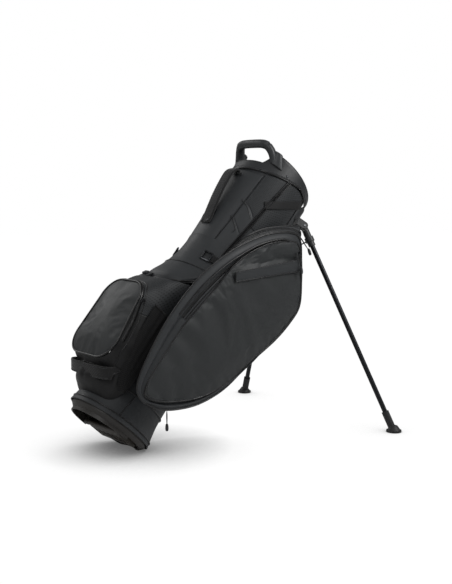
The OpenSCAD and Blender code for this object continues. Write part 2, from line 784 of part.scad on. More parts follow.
module near_zip_slider() slider_at([86, -near_pocket_y - 6, 662], 40);
module near_zip_pull() pull_at([86, -near_pocket_y - 10, 656], -lean);
module upper_zip_slider() slider_at([70, -near_pocket_y + 20, 716], 40);
module upper_zip_pull() pull_at([74, -near_pocket_y + 14, 708], -lean);
module low_zip_slider() slider_at([36, -near_pocket_y + 40, 112], 40);
module low_zip_pull() pull_at([36, -near_pocket_y + 34, 106], -lean);

body_shell();
stay_rods();
collar();
collar_rivets();
grab_handle();
handle_screws();
top_divider();
divider_sleeves();
base_cup();
foot_paddle();
paddle_pin();
leg_bracket();
pivot_pins();
leg_socket(near);  // near_leg_socket
leg_tube(near);  // near_leg_tube
leg_foot(near);  // near_leg_foot
leg_clip(near);  // near_leg_clip
leg_socket(far);  // far_leg_socket
leg_tube(far);  // far_leg_tube
leg_foot(far);  // far_leg_foot
leg_clip(far);  // far_leg_clip
actuator_rods();
actuator_guide();
link(near);  // near_link
link(far);  // far_link
saddle();
spine_panel();
ball_pocket();
ball_flap();
ball_zip_slider();
near_pocket();
near_pocket_panel();
near_pocket_band();
far_pocket();
far_pocket_panel();
bottle_sleeve(near);  // near_bottle_sleeve
bottle_sleeve(far);  // far_bottle_sleeve
carry_handle();
carry_rivets();
low_handle();
strap_tabs();
strap_ring(near);  // near_strap_ring
strap_ring(far);  // far_strap_ring
elastic_band();
near_zip_slider();
near_zip_pull();
upper_zip_slider();
upper_zip_pull();
low_zip_slider();
low_zip_pull();
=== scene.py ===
import math
import bpy
import bmesh
from mathutils import Matrix, Vector, noise


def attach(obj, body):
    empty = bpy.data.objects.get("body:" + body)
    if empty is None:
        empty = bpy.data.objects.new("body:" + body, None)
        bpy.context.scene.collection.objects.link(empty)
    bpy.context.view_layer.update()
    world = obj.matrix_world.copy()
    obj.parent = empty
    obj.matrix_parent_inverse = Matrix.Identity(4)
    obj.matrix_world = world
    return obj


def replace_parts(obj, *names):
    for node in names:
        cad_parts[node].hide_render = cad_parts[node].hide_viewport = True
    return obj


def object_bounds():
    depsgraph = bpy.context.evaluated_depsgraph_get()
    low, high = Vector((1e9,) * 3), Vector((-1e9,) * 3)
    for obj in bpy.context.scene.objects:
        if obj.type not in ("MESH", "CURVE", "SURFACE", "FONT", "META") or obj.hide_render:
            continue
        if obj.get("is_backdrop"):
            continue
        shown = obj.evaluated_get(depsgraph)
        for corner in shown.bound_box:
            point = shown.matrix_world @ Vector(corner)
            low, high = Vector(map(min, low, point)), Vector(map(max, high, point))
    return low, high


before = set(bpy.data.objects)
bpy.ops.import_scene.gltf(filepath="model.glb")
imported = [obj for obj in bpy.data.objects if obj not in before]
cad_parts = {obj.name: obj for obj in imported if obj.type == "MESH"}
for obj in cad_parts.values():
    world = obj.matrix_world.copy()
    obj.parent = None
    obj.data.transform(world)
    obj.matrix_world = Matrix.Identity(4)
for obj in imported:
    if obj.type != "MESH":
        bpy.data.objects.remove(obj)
cadLow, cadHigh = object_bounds()
print("frame loaded:", len(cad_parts), "nodes")

# The bag is modelled upright in millimetres (x forward to the legs, z up its axis) and leaned at the end
stance = {"lean": 42, "restEdge": 91, "baseRadius": 110}
mm = 0.001
lean = math.radians(stance["lean"])
lift = stance["restEdge"] * math.sin(lean)
patchS = (stance["baseRadius"] * math.sin(lean) - lift) / math.cos(lean)
restX = ((stance["restEdge"] + stance["baseRadius"]) * math.cos(lean) + patchS * math.sin(lean)) / 2
bagToRow = (Matrix.Translation((-restX * mm, 0, lift * mm)) @ Matrix.Rotation(lean, 4, "Y")
            @ Matrix.Scale(mm, 4))
near, far = -1, 1


# Camera, floor and light
view = {"target": (0.3116, 0, 0.383), "azimuth": -38.5, "elevation": 6.5, "distance": 2.7, "lens": 60.2}
lamps = {"keyLamp": {"place": (1.3, -1.7, 1.95), "size": 1.3, "power": 33},
         "sideLamp": {"place": (-1.7, -1.0, 2.3), "size": 1.4, "power": 17},
         "backLamp": {"place": (-0.3, 2.2, 1.9), "size": 1.6, "power": 14}}
studio = {"paper": 0.8, "paintedShadowReach": 0.2, "paintedShadowRange": {1: 0.2, 2: 0.95, 3: 0.12, 4: 1.02}, "air": 0.32,
          "airSeen": 0.68, "floorHalf": 9, "floorDrop": 0.0002}


def makeCamera():
    camera = bpy.data.objects.new("camera", bpy.data.cameras.new("camera"))
    bpy.context.scene.collection.objects.link(camera)
    a, e = math.radians(view["azimuth"]), math.radians(view["elevation"])
    back = Vector((math.sin(a) * math.cos(e), -math.cos(a) * math.cos(e), math.sin(e)))
    camera.location = Vector(view["target"]) + back * view["distance"]
    camera.rotation_mode = "QUATERNION"
    camera.rotation_quaternion = (-back).to_track_quat("-Z", "Y")
    camera.data.lens = view["lens"]
    bpy.context.scene.camera = camera


def makeLamp(name, place, size, power):
    data = bpy.data.lights.new(name, "AREA")
    data.shape = "DISK"
    data.size = size
    data.energy = power
    lamp = bpy.data.objects.new(name, data)
    bpy.context.scene.collection.objects.link(lamp)
    lamp.location = place
    aim = Vector(view["target"]) - Vector(place)
    lamp.rotation_mode = "QUATERNION"
    lamp.rotation_quaternion = aim.to_track_quat("-Z", "Y")


# One small helper puts a node in a tree: settings by socket or property name, links by socket
def addNode(tree, kind, settings=None, links=None):
    node = tree.nodes.new(kind)
    for key, value in (settings or {}).items():
        if isinstance(key, int) or key in node.inputs:
            node.inputs[key].default_value = value
        else:
            setattr(node, key, value)
    for key, source in (links or {}).items():
        tree.links.new(source, node.inputs[key])
    return node


def hexToLinear(code, alpha=1.0):
    values = [int(code[k:k + 2], 16) / 255 for k in (0, 2, 4)]
    return tuple(v / 12.92 if v <= 0.04045 else ((v + 0.055) / 1.055) ** 2.4 for v in values) + (alpha,)


def makeStage():
    floorTone = bpy.data.materials.new("studioPaper")       # matt white paper, lifted to white for the camera
    floorTone.use_nodes = True
    tree = floorTone.node_tree
    tree.nodes.clear()
    path = addNode(tree, "ShaderNodeLightPath")
    # for camera rays the floor is white emission darkened by ambient occlusion near the bag: its contact shadows
    # are painted shadow, not cast by the lamps
    paintedShadowAO = addNode(tree, "ShaderNodeAmbientOcclusion", {"samples": 8, "Distance": studio["paintedShadowReach"]})
    shade = addNode(tree, "ShaderNodeMapRange", studio["paintedShadowRange"], {0: paintedShadowAO.outputs["AO"]})
    paper = addNode(tree, "ShaderNodeBsdfDiffuse", {"Color": (*[studio["paper"]] * 3, 1)})
    glow = addNode(tree, "ShaderNodeEmission", {"Color": (1, 1, 1, 1)}, {"Strength": shade.outputs[0]})
    mix = addNode(tree, "ShaderNodeMixShader", None,
                  {0: path.outputs["Is Camera Ray"], 1: paper.outputs[0], 2: glow.outputs[0]})
    addNode(tree, "ShaderNodeOutputMaterial", None, {"Surface": mix.outputs[0]})
    bm = bmesh.new()
    bmesh.ops.create_grid(bm, x_segments=2, y_segments=2, size=studio["floorHalf"])
    mesh = bpy.data.meshes.new("floor")
    bm.to_mesh(mesh)
    bm.free()
    mesh.materials.append(floorTone)
    floor = bpy.data.objects.new("floor", mesh)
    floor.location.z = -studio["floorDrop"]
    bpy.context.scene.collection.objects.link(floor)
    floor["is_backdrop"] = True
    world = bpy.data.worlds.new("studioAir")
    world.use_nodes = True
    tree = world.node_tree
    tree.nodes.clear()
    path = addNode(tree, "ShaderNodeLightPath")
    seen = addNode(tree, "ShaderNodeMath", {"operation": "MAXIMUM"},
                   {0: path.outputs["Is Camera Ray"], 1: path.outputs["Is Transmission Ray"]})
    strength = addNode(tree, "ShaderNodeMath",
                       {"operation": "MULTIPLY_ADD", 1: studio["airSeen"], 2: studio["air"]}, {0: seen.outputs[0]})
    air = addNode(tree, "ShaderNodeBackground", {"Color": (1, 1, 1, 1)}, {"Strength": strength.outputs[0]})
    addNode(tree, "ShaderNodeOutputWorld", None, {"Surface": air.outputs[0]})
    bpy.context.scene.world = world


makeCamera()
makeStage()
for lampName, lamp in lamps.items():
    makeLamp(lampName, lamp["place"], lamp["size"], lamp["power"])
bpy.context.scene.view_settings.view_transform = "Standard"
print("camera and stage ready")


# Materials
finishes = {}


def newFinish(name, base, settings):
    material = bpy.data.materials.new(name)
    material.use_nodes = True
    tree = material.node_tree
    tree.nodes.clear()
    shader = addNode(tree, "ShaderNodeBsdfPrincipled", dict(settings, **{"Base Color": hexToLinear(base)}))
    addNode(tree, "ShaderNodeOutputMaterial", None, {"Surface": shader.outputs[0]})
    finishes[name] = material
    return tree, shader


# Object coordinates in millimetres, shared by the patterns of one material
def spot(tree):
    where = addNode(tree, "ShaderNodeTexCoord")
    return addNode(tree, "ShaderNodeMapping", {"Scale": (1000, 1000, 1000)}, {0: where.outputs["Object"]})


# Polyurethane-coated polyester, embossed and calendered: a dull leather-like grain with broad soft sheen
def coatedFabric(name, base, worn, roughness):
    grain = {"pebble": 1.9, "slack": 70, "blotch": 130}     # mm; the pebble is drawn coarse enough to show
    tree, shader = newFinish(name, base, {"Roughness": roughness, "Specular IOR Level": 0.3})
    place = spot(tree)
    pebble = addNode(tree, "ShaderNodeTexVoronoi", {"feature": "SMOOTH_F1", "Scale": 1 / grain["pebble"]},
                     {"Vector": place.outputs[0]})
    slack = addNode(tree, "ShaderNodeTexNoise", {"Scale": 1 / grain["slack"], "Detail": 3.0},
                    {"Vector": place.outputs[0]})
    blotch = addNode(tree, "ShaderNodeTexNoise", {"Scale": 1 / grain["blotch"], "Detail": 4.0, "Roughness": 0.6},
                     {"Vector": place.outputs[0]})
    tint = addNode(tree, "ShaderNodeMix", {"data_type": "RGBA"}, {0: blotch.outputs[0]})
    tint.inputs[6].default_value = hexToLinear(base)
    tint.inputs[7].default_value = hexToLinear(worn)
    dull = addNode(tree, "ShaderNodeMapRange", {1: 0.3, 2: 0.7, 3: roughness - 0.06, 4: roughness + 0.08},
                   {0: blotch.outputs[0]})
    bump = addNode(tree, "ShaderNodeBump", {"Strength": 0.32, "Distance": 0.0004}, {"Height": pebble.outputs[0]})
    soft = addNode(tree, "ShaderNodeBump", {"Strength": 0.35, "Distance": 0.004},
                   {"Height": slack.outputs[0], "Normal": bump.outputs[0]})
    tree.links.new(tint.outputs[2], shader.inputs["Base Color"])
    tree.links.new(dull.outputs[0], shader.inputs["Roughness"])
    tree.links.new(soft.outputs[0], shader.inputs["Normal"])


# The same coated fabric punched with small round holes in rows, on the piece's own UV map in millimetres
def perforatedFabric(name, base, hole):
    punch = {"pitch": 5.5, "radius": 0.22}
    tree, shader = newFinish(name, base, {"Roughness": 0.56, "Specular IOR Level": 0.3})
    where = addNode(tree, "ShaderNodeUVMap", {"uv_map": "weave"})
    turn = addNode(tree, "ShaderNodeMapping", {"Rotation": (0, 0, math.radians(45)),
                   "Scale": (1 / punch["pitch"], 1 / punch["pitch"], 1)}, {0: where.outputs[0]})
    holes = addNode(tree, "ShaderNodeTexVoronoi", {"voronoi_dimensions": "2D", "Scale": 1.0, "Randomness": 0.0},
                    {"Vector": turn.outputs[0]})
    edge = addNode(tree, "ShaderNodeMapRange", {1: punch["radius"], 2: punch["radius"] + 0.06},
                   {0: holes.outputs["Distance"]})
    tint = addNode(tree, "ShaderNodeMix", {"data_type": "RGBA"}, {0: edge.outputs[0]})
    tint.inputs[6].default_value = hexToLinear(hole)
    tint.inputs[7].default_value = hexToLinear(base)
    bump = addNode(tree, "ShaderNodeBump", {"Strength": 0.6, "Distance": 0.0008}, {"Height": edge.outputs[0]})
    tree.links.new(tint.outputs[2], shader.inputs["Base Color"])
    tree.links.new(bump.outputs[0], shader.inputs["Normal"])


# Knitted polyester mesh with hexagonal eyes over a dark lining
def meshFabric(name, yarn, eye):
    knit = {"pitch": 2.6}
    tree, shader = newFinish(name, yarn, {"Roughness": 0.8, "Specular IOR Level": 0.25})
    where = addNode(tree, "ShaderNodeUVMap", {"uv_map": "weave"})
    size = addNode(tree, "ShaderNodeMapping", {"Scale": (1 / knit["pitch"], 1 / knit["pitch"] / 1.7, 1)},
                   {0: where.outputs[0]})
    eyes = addNode(tree, "ShaderNodeTexVoronoi", {"voronoi_dimensions": "2D", "feature": "DISTANCE_TO_EDGE",
                   "Scale": 1.0, "Randomness": 0.12}, {"Vector": size.outputs[0]})
    edge = addNode(tree, "ShaderNodeMapRange", {1: 0.12, 2: 0.24, 3: 1.0, 4: 0.0}, {0: eyes.outputs["Distance"]})
    tint = addNode(tree, "ShaderNodeMix", {"data_type": "RGBA"}, {0: edge.outputs[0]})
    tint.inputs[6].default_value = hexToLinear(eye)
    tint.inputs[7].default_value = hexToLinear(yarn)
    bump = addNode(tree, "ShaderNodeBump", {"Strength": 0.8, "Distance": 0.0008}, {"Height": edge.outputs[0]})
    tree.links.new(tint.outputs[2], shader.inputs["Base Color"])
    tree.links.new(bump.outputs[0], shader.inputs["Normal"])


# Woven nylon webbing: slanting ribs of yarn, matt with a faint sheen
def nylonWebbing(name, base, light):
    weave = {"pick": 2.2}
    tree, shader = newFinish(name, base, {"Roughness": 0.72, "Specular IOR Level": 0.3, "Sheen Weight": 0.15})
    where = addNode(tree, "ShaderNodeUVMap", {"uv_map": "weave"})
    size = addNode(tree, "ShaderNodeMapping", {"Scale": (1 / weave["pick"], 1 / weave["pick"], 1)},
                   {0: where.outputs[0]})
    picks = addNode(tree, "ShaderNodeTexWave", {"wave_type": "BANDS", "bands_direction": "DIAGONAL",
                    "Scale": 0.32, "Distortion": 0.4, "Detail": 1.0}, {"Vector": size.outputs[0]})
    tint = addNode(tree, "ShaderNodeMix", {"data_type": "RGBA"}, {0: picks.outputs[0]})
    tint.inputs[6].default_value = hexToLinear(base)
    tint.inputs[7].default_value = hexToLinear(light)
    bump = addNode(tree, "ShaderNodeBump", {"Strength": 0.7, "Distance": 0.0006}, {"Height": picks.outputs[0]})
    tree.links.new(tint.outputs[2], shader.inputs["Base Color"])
    tree.links.new(bump.outputs[0], shader.inputs["Normal"])


# Injection-moulded plastic or rubber with a spark-eroded texture: dull, and a little lighter in patches
def mouldedPolymer(name, base, worn, roughness, grit):
    tree, shader = newFinish(name, base, {"Roughness": roughness, "Specular IOR Level": 0.45})
    place = spot(tree)
    fine = addNode(tree, "ShaderNodeTexNoise", {"Scale": 1 / grit, "Detail": 2.0}, {"Vector": place.outputs[0]})
    rub = addNode(tree, "ShaderNodeTexNoise", {"Scale": 1 / 45, "Detail": 5.0}, {"Vector": place.outputs[0]})
    tint = addNode(tree, "ShaderNodeMix", {"data_type": "RGBA"}, {0: rub.outputs[0]})
    tint.inputs[6].default_value = hexToLinear(base)
    tint.inputs[7].default_value = hexToLinear(worn)
    dull = addNode(tree, "ShaderNodeMapRange", {1: 0.3, 2: 0.7, 3: roughness - 0.05, 4: roughness + 0.07},
                   {0: rub.outputs[0]})
    bump = addNode(tree, "ShaderNodeBump", {"Strength": 0.25, "Distance": 0.0003}, {"Height": fine.outputs[0]})
    tree.links.new(tint.outputs[2], shader.inputs["Base Color"])
    tree.links.new(dull.outputs[0], shader.inputs["Roughness"])
    tree.links.new(bump.outputs[0], shader.inputs["Normal"])


# Metal with a plated or anodised surface: its gloss and its level vary a little from place to place
def finishedMetal(name, base, roughness, grain):
    tree, shader = newFinish(name, base, {"Metallic": 1.0, "Roughness": roughness})
    place = spot(tree)
    level = addNode(tree, "ShaderNodeTexNoise", {"Scale": 1 / grain, "Detail": 3.0, "Distortion": 0.4},
                    {"Vector": place.outputs[0]})
    dull = addNode(tree, "ShaderNodeMapRange", {1: 0.3, 2: 0.7, 3: roughness - 0.06, 4: roughness + 0.08},
                   {0: level.outputs[0]})
    bump = addNode(tree, "ShaderNodeBump", {"Strength": 0.12, "Distance": 0.0002}, {"Height": level.outputs[0]})
    tree.links.new(dull.outputs[0], shader.inputs["Roughness"])
    tree.links.new(bump.outputs[0], shader.inputs["Normal"])


coatedFabric("coatedFabric", "292b2d", "303234", 0.5)
coatedFabric("pocketFabric", "262829", "2e3031", 0.5)
# a much darker copy of the coated fabric whose colour is painted shade, for the pocket sides, the far pocket
# border and the ball pocket's lower shell
coatedFabric("paintedShadeFabric", "101011", "161617", 0.55)
coatedFabric("spineFabric", "2a2c2e", "323436", 0.5)
perforatedFabric("perforatedFabric", "2a2c2e", "0f1011")
meshFabric("knitMesh", "1b1b1c", "050505")
nylonWebbing("nylonWebbing", "070708", "131314")
mouldedPolymer("mouldedNylon", "1d1e20", "242628", 0.42, 0.8)
mouldedPolymer("gripRubber", "232527", "2b2d2f", 0.46, 1.1)
mouldedPolymer("footRubber", "0d0d0e", "161617", 0.55, 1.4)
mouldedPolymer("baseRubber", "1a1817", "272420", 0.5, 1.6)
mouldedPolymer("paddlePlastic", "2a2723", "3b3731", 0.46, 1.2)
mouldedPolymer("pipingVinyl", "0b0b0c", "131314", 0.3, 0.9)
mouldedPolymer("zipNylon", "070708", "0e0e0f", 0.3, 0.7)
mouldedPolymer("stitchThread", "38393b", "46484a", 0.6, 0.6)
mouldedPolymer("liningFabric", "09090a", "101011", 0.8, 1.5)
mouldedPolymer("stayComposite", "232426", "2e2f31", 0.4, 1.0)
finishedMetal("anodisedAluminium", "2e2f31", 0.34, 3.0)
finishedMetal("platedSteel", "6f7173", 0.3, 2.0)
finishedMetal("blackNickel", "3a3b3d", 0.3, 1.5)
print("materials ready:", len(finishes))


# Shared modelling helpers
def curvePoint(a, b, c, d, t):
    return 0.5 * (2 * b + (c - a) * t + (2 * a - 5 * b + 4 * c - d) * t * t + (3 * b - a - 3 * c + d) * t ** 3)


def smoothLine(points, steps, closed=False):
    pts = [Vector(q) for q in points]
    n = len(pts)
    last = n if closed else n - 1
    line = []
    for i in range(last):
        four = [pts[(i + k) % n] if closed else pts[min(max(i + k, 0), n - 1)] for k in (-1, 0, 1, 2)]
        line += [curvePoint(*four, k / steps) for k in range(steps)]
    return line if closed else line + [pts[-1]]


def pointOn(line, t, closed=False):
    n = len(line) if closed else len(line) - 1
    x = t * n
    i = min(int(x), n - 1)
    return line[i].lerp(line[(i + 1) % len(line)], x - i)


def lengthOf(line):
    return sum((b - a).length for a, b in zip(line, line[1:]))


# A grid bent by place(u, v); its UV map holds the cloth's own millimetres
def bentGrid(place, across, along, size=(100, 100)):
    bm = bmesh.new()
    uv = bm.loops.layers.uv.new("weave")
    bmesh.ops.create_grid(bm, x_segments=across, y_segments=along, size=0.5)
    for face in bm.faces:
        for loop in face.loops:
            loop[uv].uv = ((loop.vert.co.x + 0.5) * size[0], (loop.vert.co.y + 0.5) * size[1])
    for v in bm.verts:
        v.co = place(min(max(v.co.x + 0.5, 0), 1), min(max(v.co.y + 0.5, 0), 1))
    bmesh.ops.remove_doubles(bm, verts=bm.verts, dist=0.02)
    bmesh.ops.dissolve_degenerate(bm, edges=bm.edges, dist=0.001)
    return bm


# A round sheet of even cells: place(turn, share) gives the point at a share of the way out to the rim
def discGrid(place, count, size=(100, 100)):
    def at(u, v):
        a, b = 2 * u - 1, 2 * v - 1
        x, y = a * math.sqrt(1 - b * b / 2), b * math.sqrt(1 - a * a / 2)
        return place((math.atan2(y, x) / (2 * math.pi)) % 1, min(1, math.hypot(x, y)))
    return bentGrid(at, count, count, size)


clothFeel = {"quality": 5, "mass": 0.25, "tension_stiffness": 12, "compression_stiffness": 8,
             "shear_stiffness": 4, "bending_stiffness": 0.6}


# Fills a padded sheet: its rim is held, the cloth has a little slack, and air pushes it out by cap mm at most
def inflate(piece, push, slack, cap, frames=14):
    scene = bpy.context.scene
    trial = bpy.data.objects.new("trial", piece.data.copy())
    scene.collection.objects.link(trial)
    bm = bmesh.new()
    bm.from_mesh(trial.data)
    rim = [v.index for v in bm.verts if v.is_boundary]
    bm.free()
    held = trial.vertex_groups.new(name="held")
    held.add(rim, 1.0, "REPLACE")
    cloth = trial.modifiers.new("cloth", "CLOTH")
    for key, value in clothFeel.items():
        setattr(cloth.settings, key, value)
    cloth.settings.vertex_group_mass = "held"
    cloth.settings.shrink_min = -slack
    cloth.settings.use_pressure = True
    cloth.settings.uniform_pressure_force = push
    cloth.settings.effector_weights.gravity = 0
    cloth.point_cache.frame_start = 1
    cloth.point_cache.frame_end = frames
    for k in range(1, frames + 1):
        scene.frame_set(k)
    done = trial.evaluated_get(bpy.context.evaluated_depsgraph_get()).to_mesh()
    moved = 0
    for v, w in zip(piece.data.vertices, done.vertices):
        shift = w.co - v.co
        gap = shift.length
        if gap > cap * mm:
            shift *= cap * mm / gap
        moved = max(moved, shift.length)
        v.co += shift
    trial.evaluated_get(bpy.context.evaluated_depsgraph_get()).to_mesh_clear()
    bpy.data.objects.remove(trial)
    scene.frame_set(1)
    print(piece.name, "filled, moved at most", round(moved * 1000, 1), "mm")


# A section swept along a line: facing is the way the section's y looks
def sweep(line, facing, section, closed=False):
    n, m = len(section), len(line)
    length = lengthOf(line)
    rows = []
    for i in range(m):
        ahead = line[(i + 1) % m] if closed else line[min(i + 1, m - 1)]
        behind = line[i - 1] if closed or i else line[0]
        along = (ahead - behind).normalized()
        look = facing(i / max(m - 1, 1), line[i]) if callable(facing) else Vector(facing)
        side = along.cross(look).normalized()
        rows.append((line[i], side, side.cross(along).normalized()))
    if closed:
        rows.append(rows[0])

    def place(u, v):
        a, side, up = rows[round(v * (len(rows) - 1))]
        q = section[round(u * n) % n]
        x, z = q(v * length) if callable(q) else q
        return a + side * x + up * z
    half = abs(section[0](0)[0] if callable(section[0]) else section[0][0])
    bm = bentGrid(place, n, len(rows) - 1, (2.6 * half + 30, length))
    if not closed:
        bmesh.ops.holes_fill(bm, edges=bm.edges, sides=0)
    return bm


# A flat strap's section with eased edges and a little crown
def strap(width, thick):
    h, e = width / 2, thick / 2
    half = [(h, 0), (h - e * 0.3, e * 0.7), (h - e, e), (h * 0.5, e * 1.1), (0, e * 1.15)]
    top = half + [(-x, z) for x, z in half[-2::-1]]
    return top + [(x, -z) for x, z in top[-2:0:-1]]


# Soft unevenness along the surface's own normals
def soften(bm, amount, grain, seed=0, keep=None):
    bm.normal_update()
    for v in bm.verts:
        share = keep(v.co) if keep else 1
        v.co += v.normal * noise.noise(v.co / grain + Vector((seed, 0, 0))) * amount * share


# Turns a shape into a finished piece: leaned, coloured, given its wall and set on the body that carries it
def finish(source, name, look, body="bag", solid=0, inward=-1, subdivide=0, placed=False):
    if isinstance(source, bmesh.types.BMesh):
        if not placed:
            bmesh.ops.recalc_face_normals(source, faces=source.faces)
        source.transform(bagToRow)
        mesh = bpy.data.meshes.new(name)
        source.to_mesh(mesh)
        source.free()
    else:
        mesh = source
    mesh.name = name
    piece = bpy.data.objects.new(name, mesh)
    bpy.context.scene.collection.objects.link(piece)
    mesh.materials.append(finishes[look])
    mesh.shade_smooth()
    if solid:
        wall = piece.modifiers.new("wall", "SOLIDIFY")
        wall.thickness = solid * mm
        wall.offset = inward
    if subdivide:
        smoother = piece.modifiers.new("smoother", "SUBSURF")
        smoother.levels = subdivide
        smoother.render_levels = subdivide
    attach(piece, body)
    return piece


# Round cords of one size laid along lines, as piping, seams or thread
def strands(name, lines, radius, look, body="bag", closed=False, sides=2):
    curve = bpy.data.curves.new(name, "CURVE")
    curve.dimensions = "3D"
    curve.bevel_depth = radius * mm
    curve.bevel_resolution = sides
    curve.use_fill_caps = True
    for line in lines:
        spline = curve.splines.new("POLY")
        spline.points.add(len(line) - 1)
        for k, q in enumerate(line):
            spline.points[k].co = (*(bagToRow @ q), 1)
        spline.use_cyclic_u = closed
    holder = bpy.data.objects.new(name + "Line", curve)
    mesh = bpy.data.meshes.new_from_object(holder)
    bpy.data.objects.remove(holder)
    bpy.data.curves.remove(curve)
    return finish(mesh, name, look, body)


# Stitches of thread in a row along a line, lying on the face that looks along facing
def stitches(name, lines, facing, pitch=4.5, length=3.0, thick=0.7, body="bag", look="stitchThread"):
    bm = bmesh.new()
    for line in lines:
        total = lengthOf(line)
        count = max(int(total / pitch), 1)
        for k in range(count):
            a = pointOn(line, (k + 0.5) / count)
            b = pointOn(line, min((k + 0.6) / count, 1))
            along = (b - a).normalized()
            up = Vector(facing(a) if callable(facing) else facing)
            side = up.cross(along).normalized()
            up = along.cross(side)
            turn = Matrix((along, side, up)).transposed().to_4x4()
            bmesh.ops.create_cube(bm, size=1, matrix=Matrix.Translation(a) @ turn
                                  @ Matrix.Diagonal((length, thick, thick, 1)))
    return finish(bm, name, look, body, placed=True)


# Tube
tube = {"profile": [(14, 117), (36, 112.5), (60, 108.5), (84, 106), (170, 103), (300, 101), (480, 100),
                    (600, 105), (700, 110), (760, 112.5), (806, 113)],
        "wall": 3, "around": 168, "slotHalf": 22, "slotLow": 584, "slotHigh": 656}
collar = {"radius": 116, "rim": 850, "slope": 0.152, "front": 22, "seamSlope": 0.28, "seamP": 12, "wall": 3,
          "dip": 818, "dipFrom": 27, "dipTo": 44}


def profileAt(rows, s):
    for (a, r), (b, q) in zip(rows, rows[1:]):
        if s <= b:
            return r + (q - r) * (max(s, a) - a) / (b - a)
    return rows[-1][1]


def radiusAt(s):
    return profileAt(tube["profile"], s)


# A point on the tube's skin: degrees round from the front (near side negative), height, height over the skin
def onTube(angle, s, out=0.0):
    a = math.radians(angle)
    r = radiusAt(s) + out
    return Vector((r * math.cos(a), r * math.sin(a), s))


def outward(q):
    return Vector((q.x, q.y, 0)).normalized()


def tubeLine(places, out, steps=10):
    return [onTube(q.x, q.y, out) for q in smoothLine([(a, s, 0) for a, s in places], steps)]


def collarSeam(angle):
    p = collar["radius"] * math.cos(math.radians(angle))
    if p < collar["seamP"]:
        top = collar["rim"] - collar["slope"] * collar["seamP"] - collar["front"]
        return top - collar["seamSlope"] * (collar["seamP"] - p)
    return collar["rim"] - collar["slope"] * p - collar["front"]


# The rim follows a slanting plane, and dips between the roots of the grip
def collarRim(angle):
    rim = collar["rim"] - collar["slope"] * collar["radius"] * math.cos(math.radians(angle))
    off = abs((angle + 360) % 360 - 180)
    x = min(1, max(0, (off - collar["dipFrom"]) / (collar["dipTo"] - collar["dipFrom"])))
    return collar["dip"] + (rim - collar["dip"]) * x * x * (3 - 2 * x)


def makeCollar():
    def place(u, v):
        angle = -180 + 360 * u
        a = math.radians(angle)
        low, high = collarSeam(angle), collarRim(angle)
        lip = max(0, (v - 0.88) / 0.12)
        r = collar["radius"] - 1.6 * lip * lip - 0.9 * max(0, 0.06 - v) / 0.06
        return Vector((r * math.cos(a), r * math.sin(a), low + (high - low) * v))
    piece = finish(bentGrid(place, 240, 26, (730, 45)), "collarShell", "mouldedNylon",
                   solid=collar["wall"])
    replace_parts(piece, "collar")
    bead = []
    for k in range(240):
        angle = -180 + 1.5 * k
        a = math.radians(angle)
        r = collar["radius"] - 2.6
        bead.append(Vector((r * math.cos(a), r * math.sin(a), collarRim(angle) - 0.4)))
    strands("collarBead", [bead], 2.1, "mouldedNylon", closed=True)


# Two seams run down either side of the spine; a double piping runs from the front of the collar to the waist
seams = {"spine": [(137.8, 794), (139.5, 740), (142.5, 660), (146, 590), (149.5, 534)],
         "diagonal": [(102.8, 818), (109.6, 727), (115.2, 640), (120.9, 555), (125.7, 495), (128.2, 454)],
         "chevronLow": [(147, 641), (138, 628), (130, 612), (131, 600)],
         "chevronHigh": [(146, 694), (138, 688), (130, 678), (120, 658)]}


def makeTube():
    bm = bmesh.new()
    curve = smoothLine([(r, 0, s) for s, r in tube["profile"]], 12)
    verts = [bm.verts.new(q) for q in curve]
    edges = [bm.edges.new(pair) for pair in zip(verts, verts[1:])]
    bmesh.ops.spin(bm, geom=verts + edges, cent=(0, 0, 0), axis=(0, 0, 1), angle=2 * math.pi,
                   steps=tube["around"], use_merge=True)
    bmesh.ops.recalc_face_normals(bm, faces=bm.faces)
    middles = [(f, f.calc_center_median()) for f in bm.faces]
    gone = [f for f, q in middles if q.x > 0 and abs(q.y) < tube["slotHalf"]
            and tube["slotLow"] < q.z < tube["slotHigh"]]
    bmesh.ops.delete(bm, geom=gone, context="FACES")
    soften(bm, 1.6, 95, 3, lambda q: min(1, max(0, (760 - q.z) / 120)))
    for v in bm.verts:
        reach = (lift + v.co.z * math.cos(lean) - 1) / math.sin(lean)
        v.co.x = min(v.co.x, reach)
    skin = finish(bm, "tubeSkin", "coatedFabric", solid=tube["wall"])
    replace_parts(skin, "body_shell")
    half, foot, head = tube["slotHalf"], tube["slotLow"], tube["slotHigh"]
    edge = [Vector((0, y, s)) for y, s in [(-half, foot), (half, foot), (half, head), (-half, head)]]
    rim = []
    for a, b in zip(edge, edge[1:] + edge[:1]):
        for k in range(8):
            q = a.lerp(b, k / 8)
            rim.append(Vector((math.sqrt((radiusAt(q.z) + 0.6) ** 2 - q.y ** 2), q.y, q.z)))
    strands("slotBinding", [rim], 1.8, "pipingVinyl", closed=True)


# A cloth panel sewn on the skin between two seams
def tubePatch(name, left, right, low, high, out, look, side=far, across=14, along=40):
    leftLine = smoothLine([(s, a, 0) for a, s in reversed(left)], 12)
    rightLine = smoothLine([(s, a, 0) for a, s in reversed(right)], 12)

    def angleOn(line, s):
        for a, b in zip(line, line[1:]):
            if a.x <= s <= b.x:
                return a.y + (b.y - a.y) * (s - a.x) / (b.x - a.x)
        return line[0].y if s < line[0].x else line[-1].y

    def place(u, v):
        s = low(u) + (high(u) - low(u)) * v if callable(low) else low + (high - low) * v
        a, b = angleOn(leftLine, s), angleOn(rightLine, s)
        ease = min(1, 6 * min(u, 1 - u) + 0.15) * min(1, 10 * min(v, 1 - v) + 0.15)
        return onTube(side * (a + (b - a) * u), s, out * ease)
    bm = bentGrid(place, across, along, (60, 200))
    return finish(bm, name, look, solid=0.8)


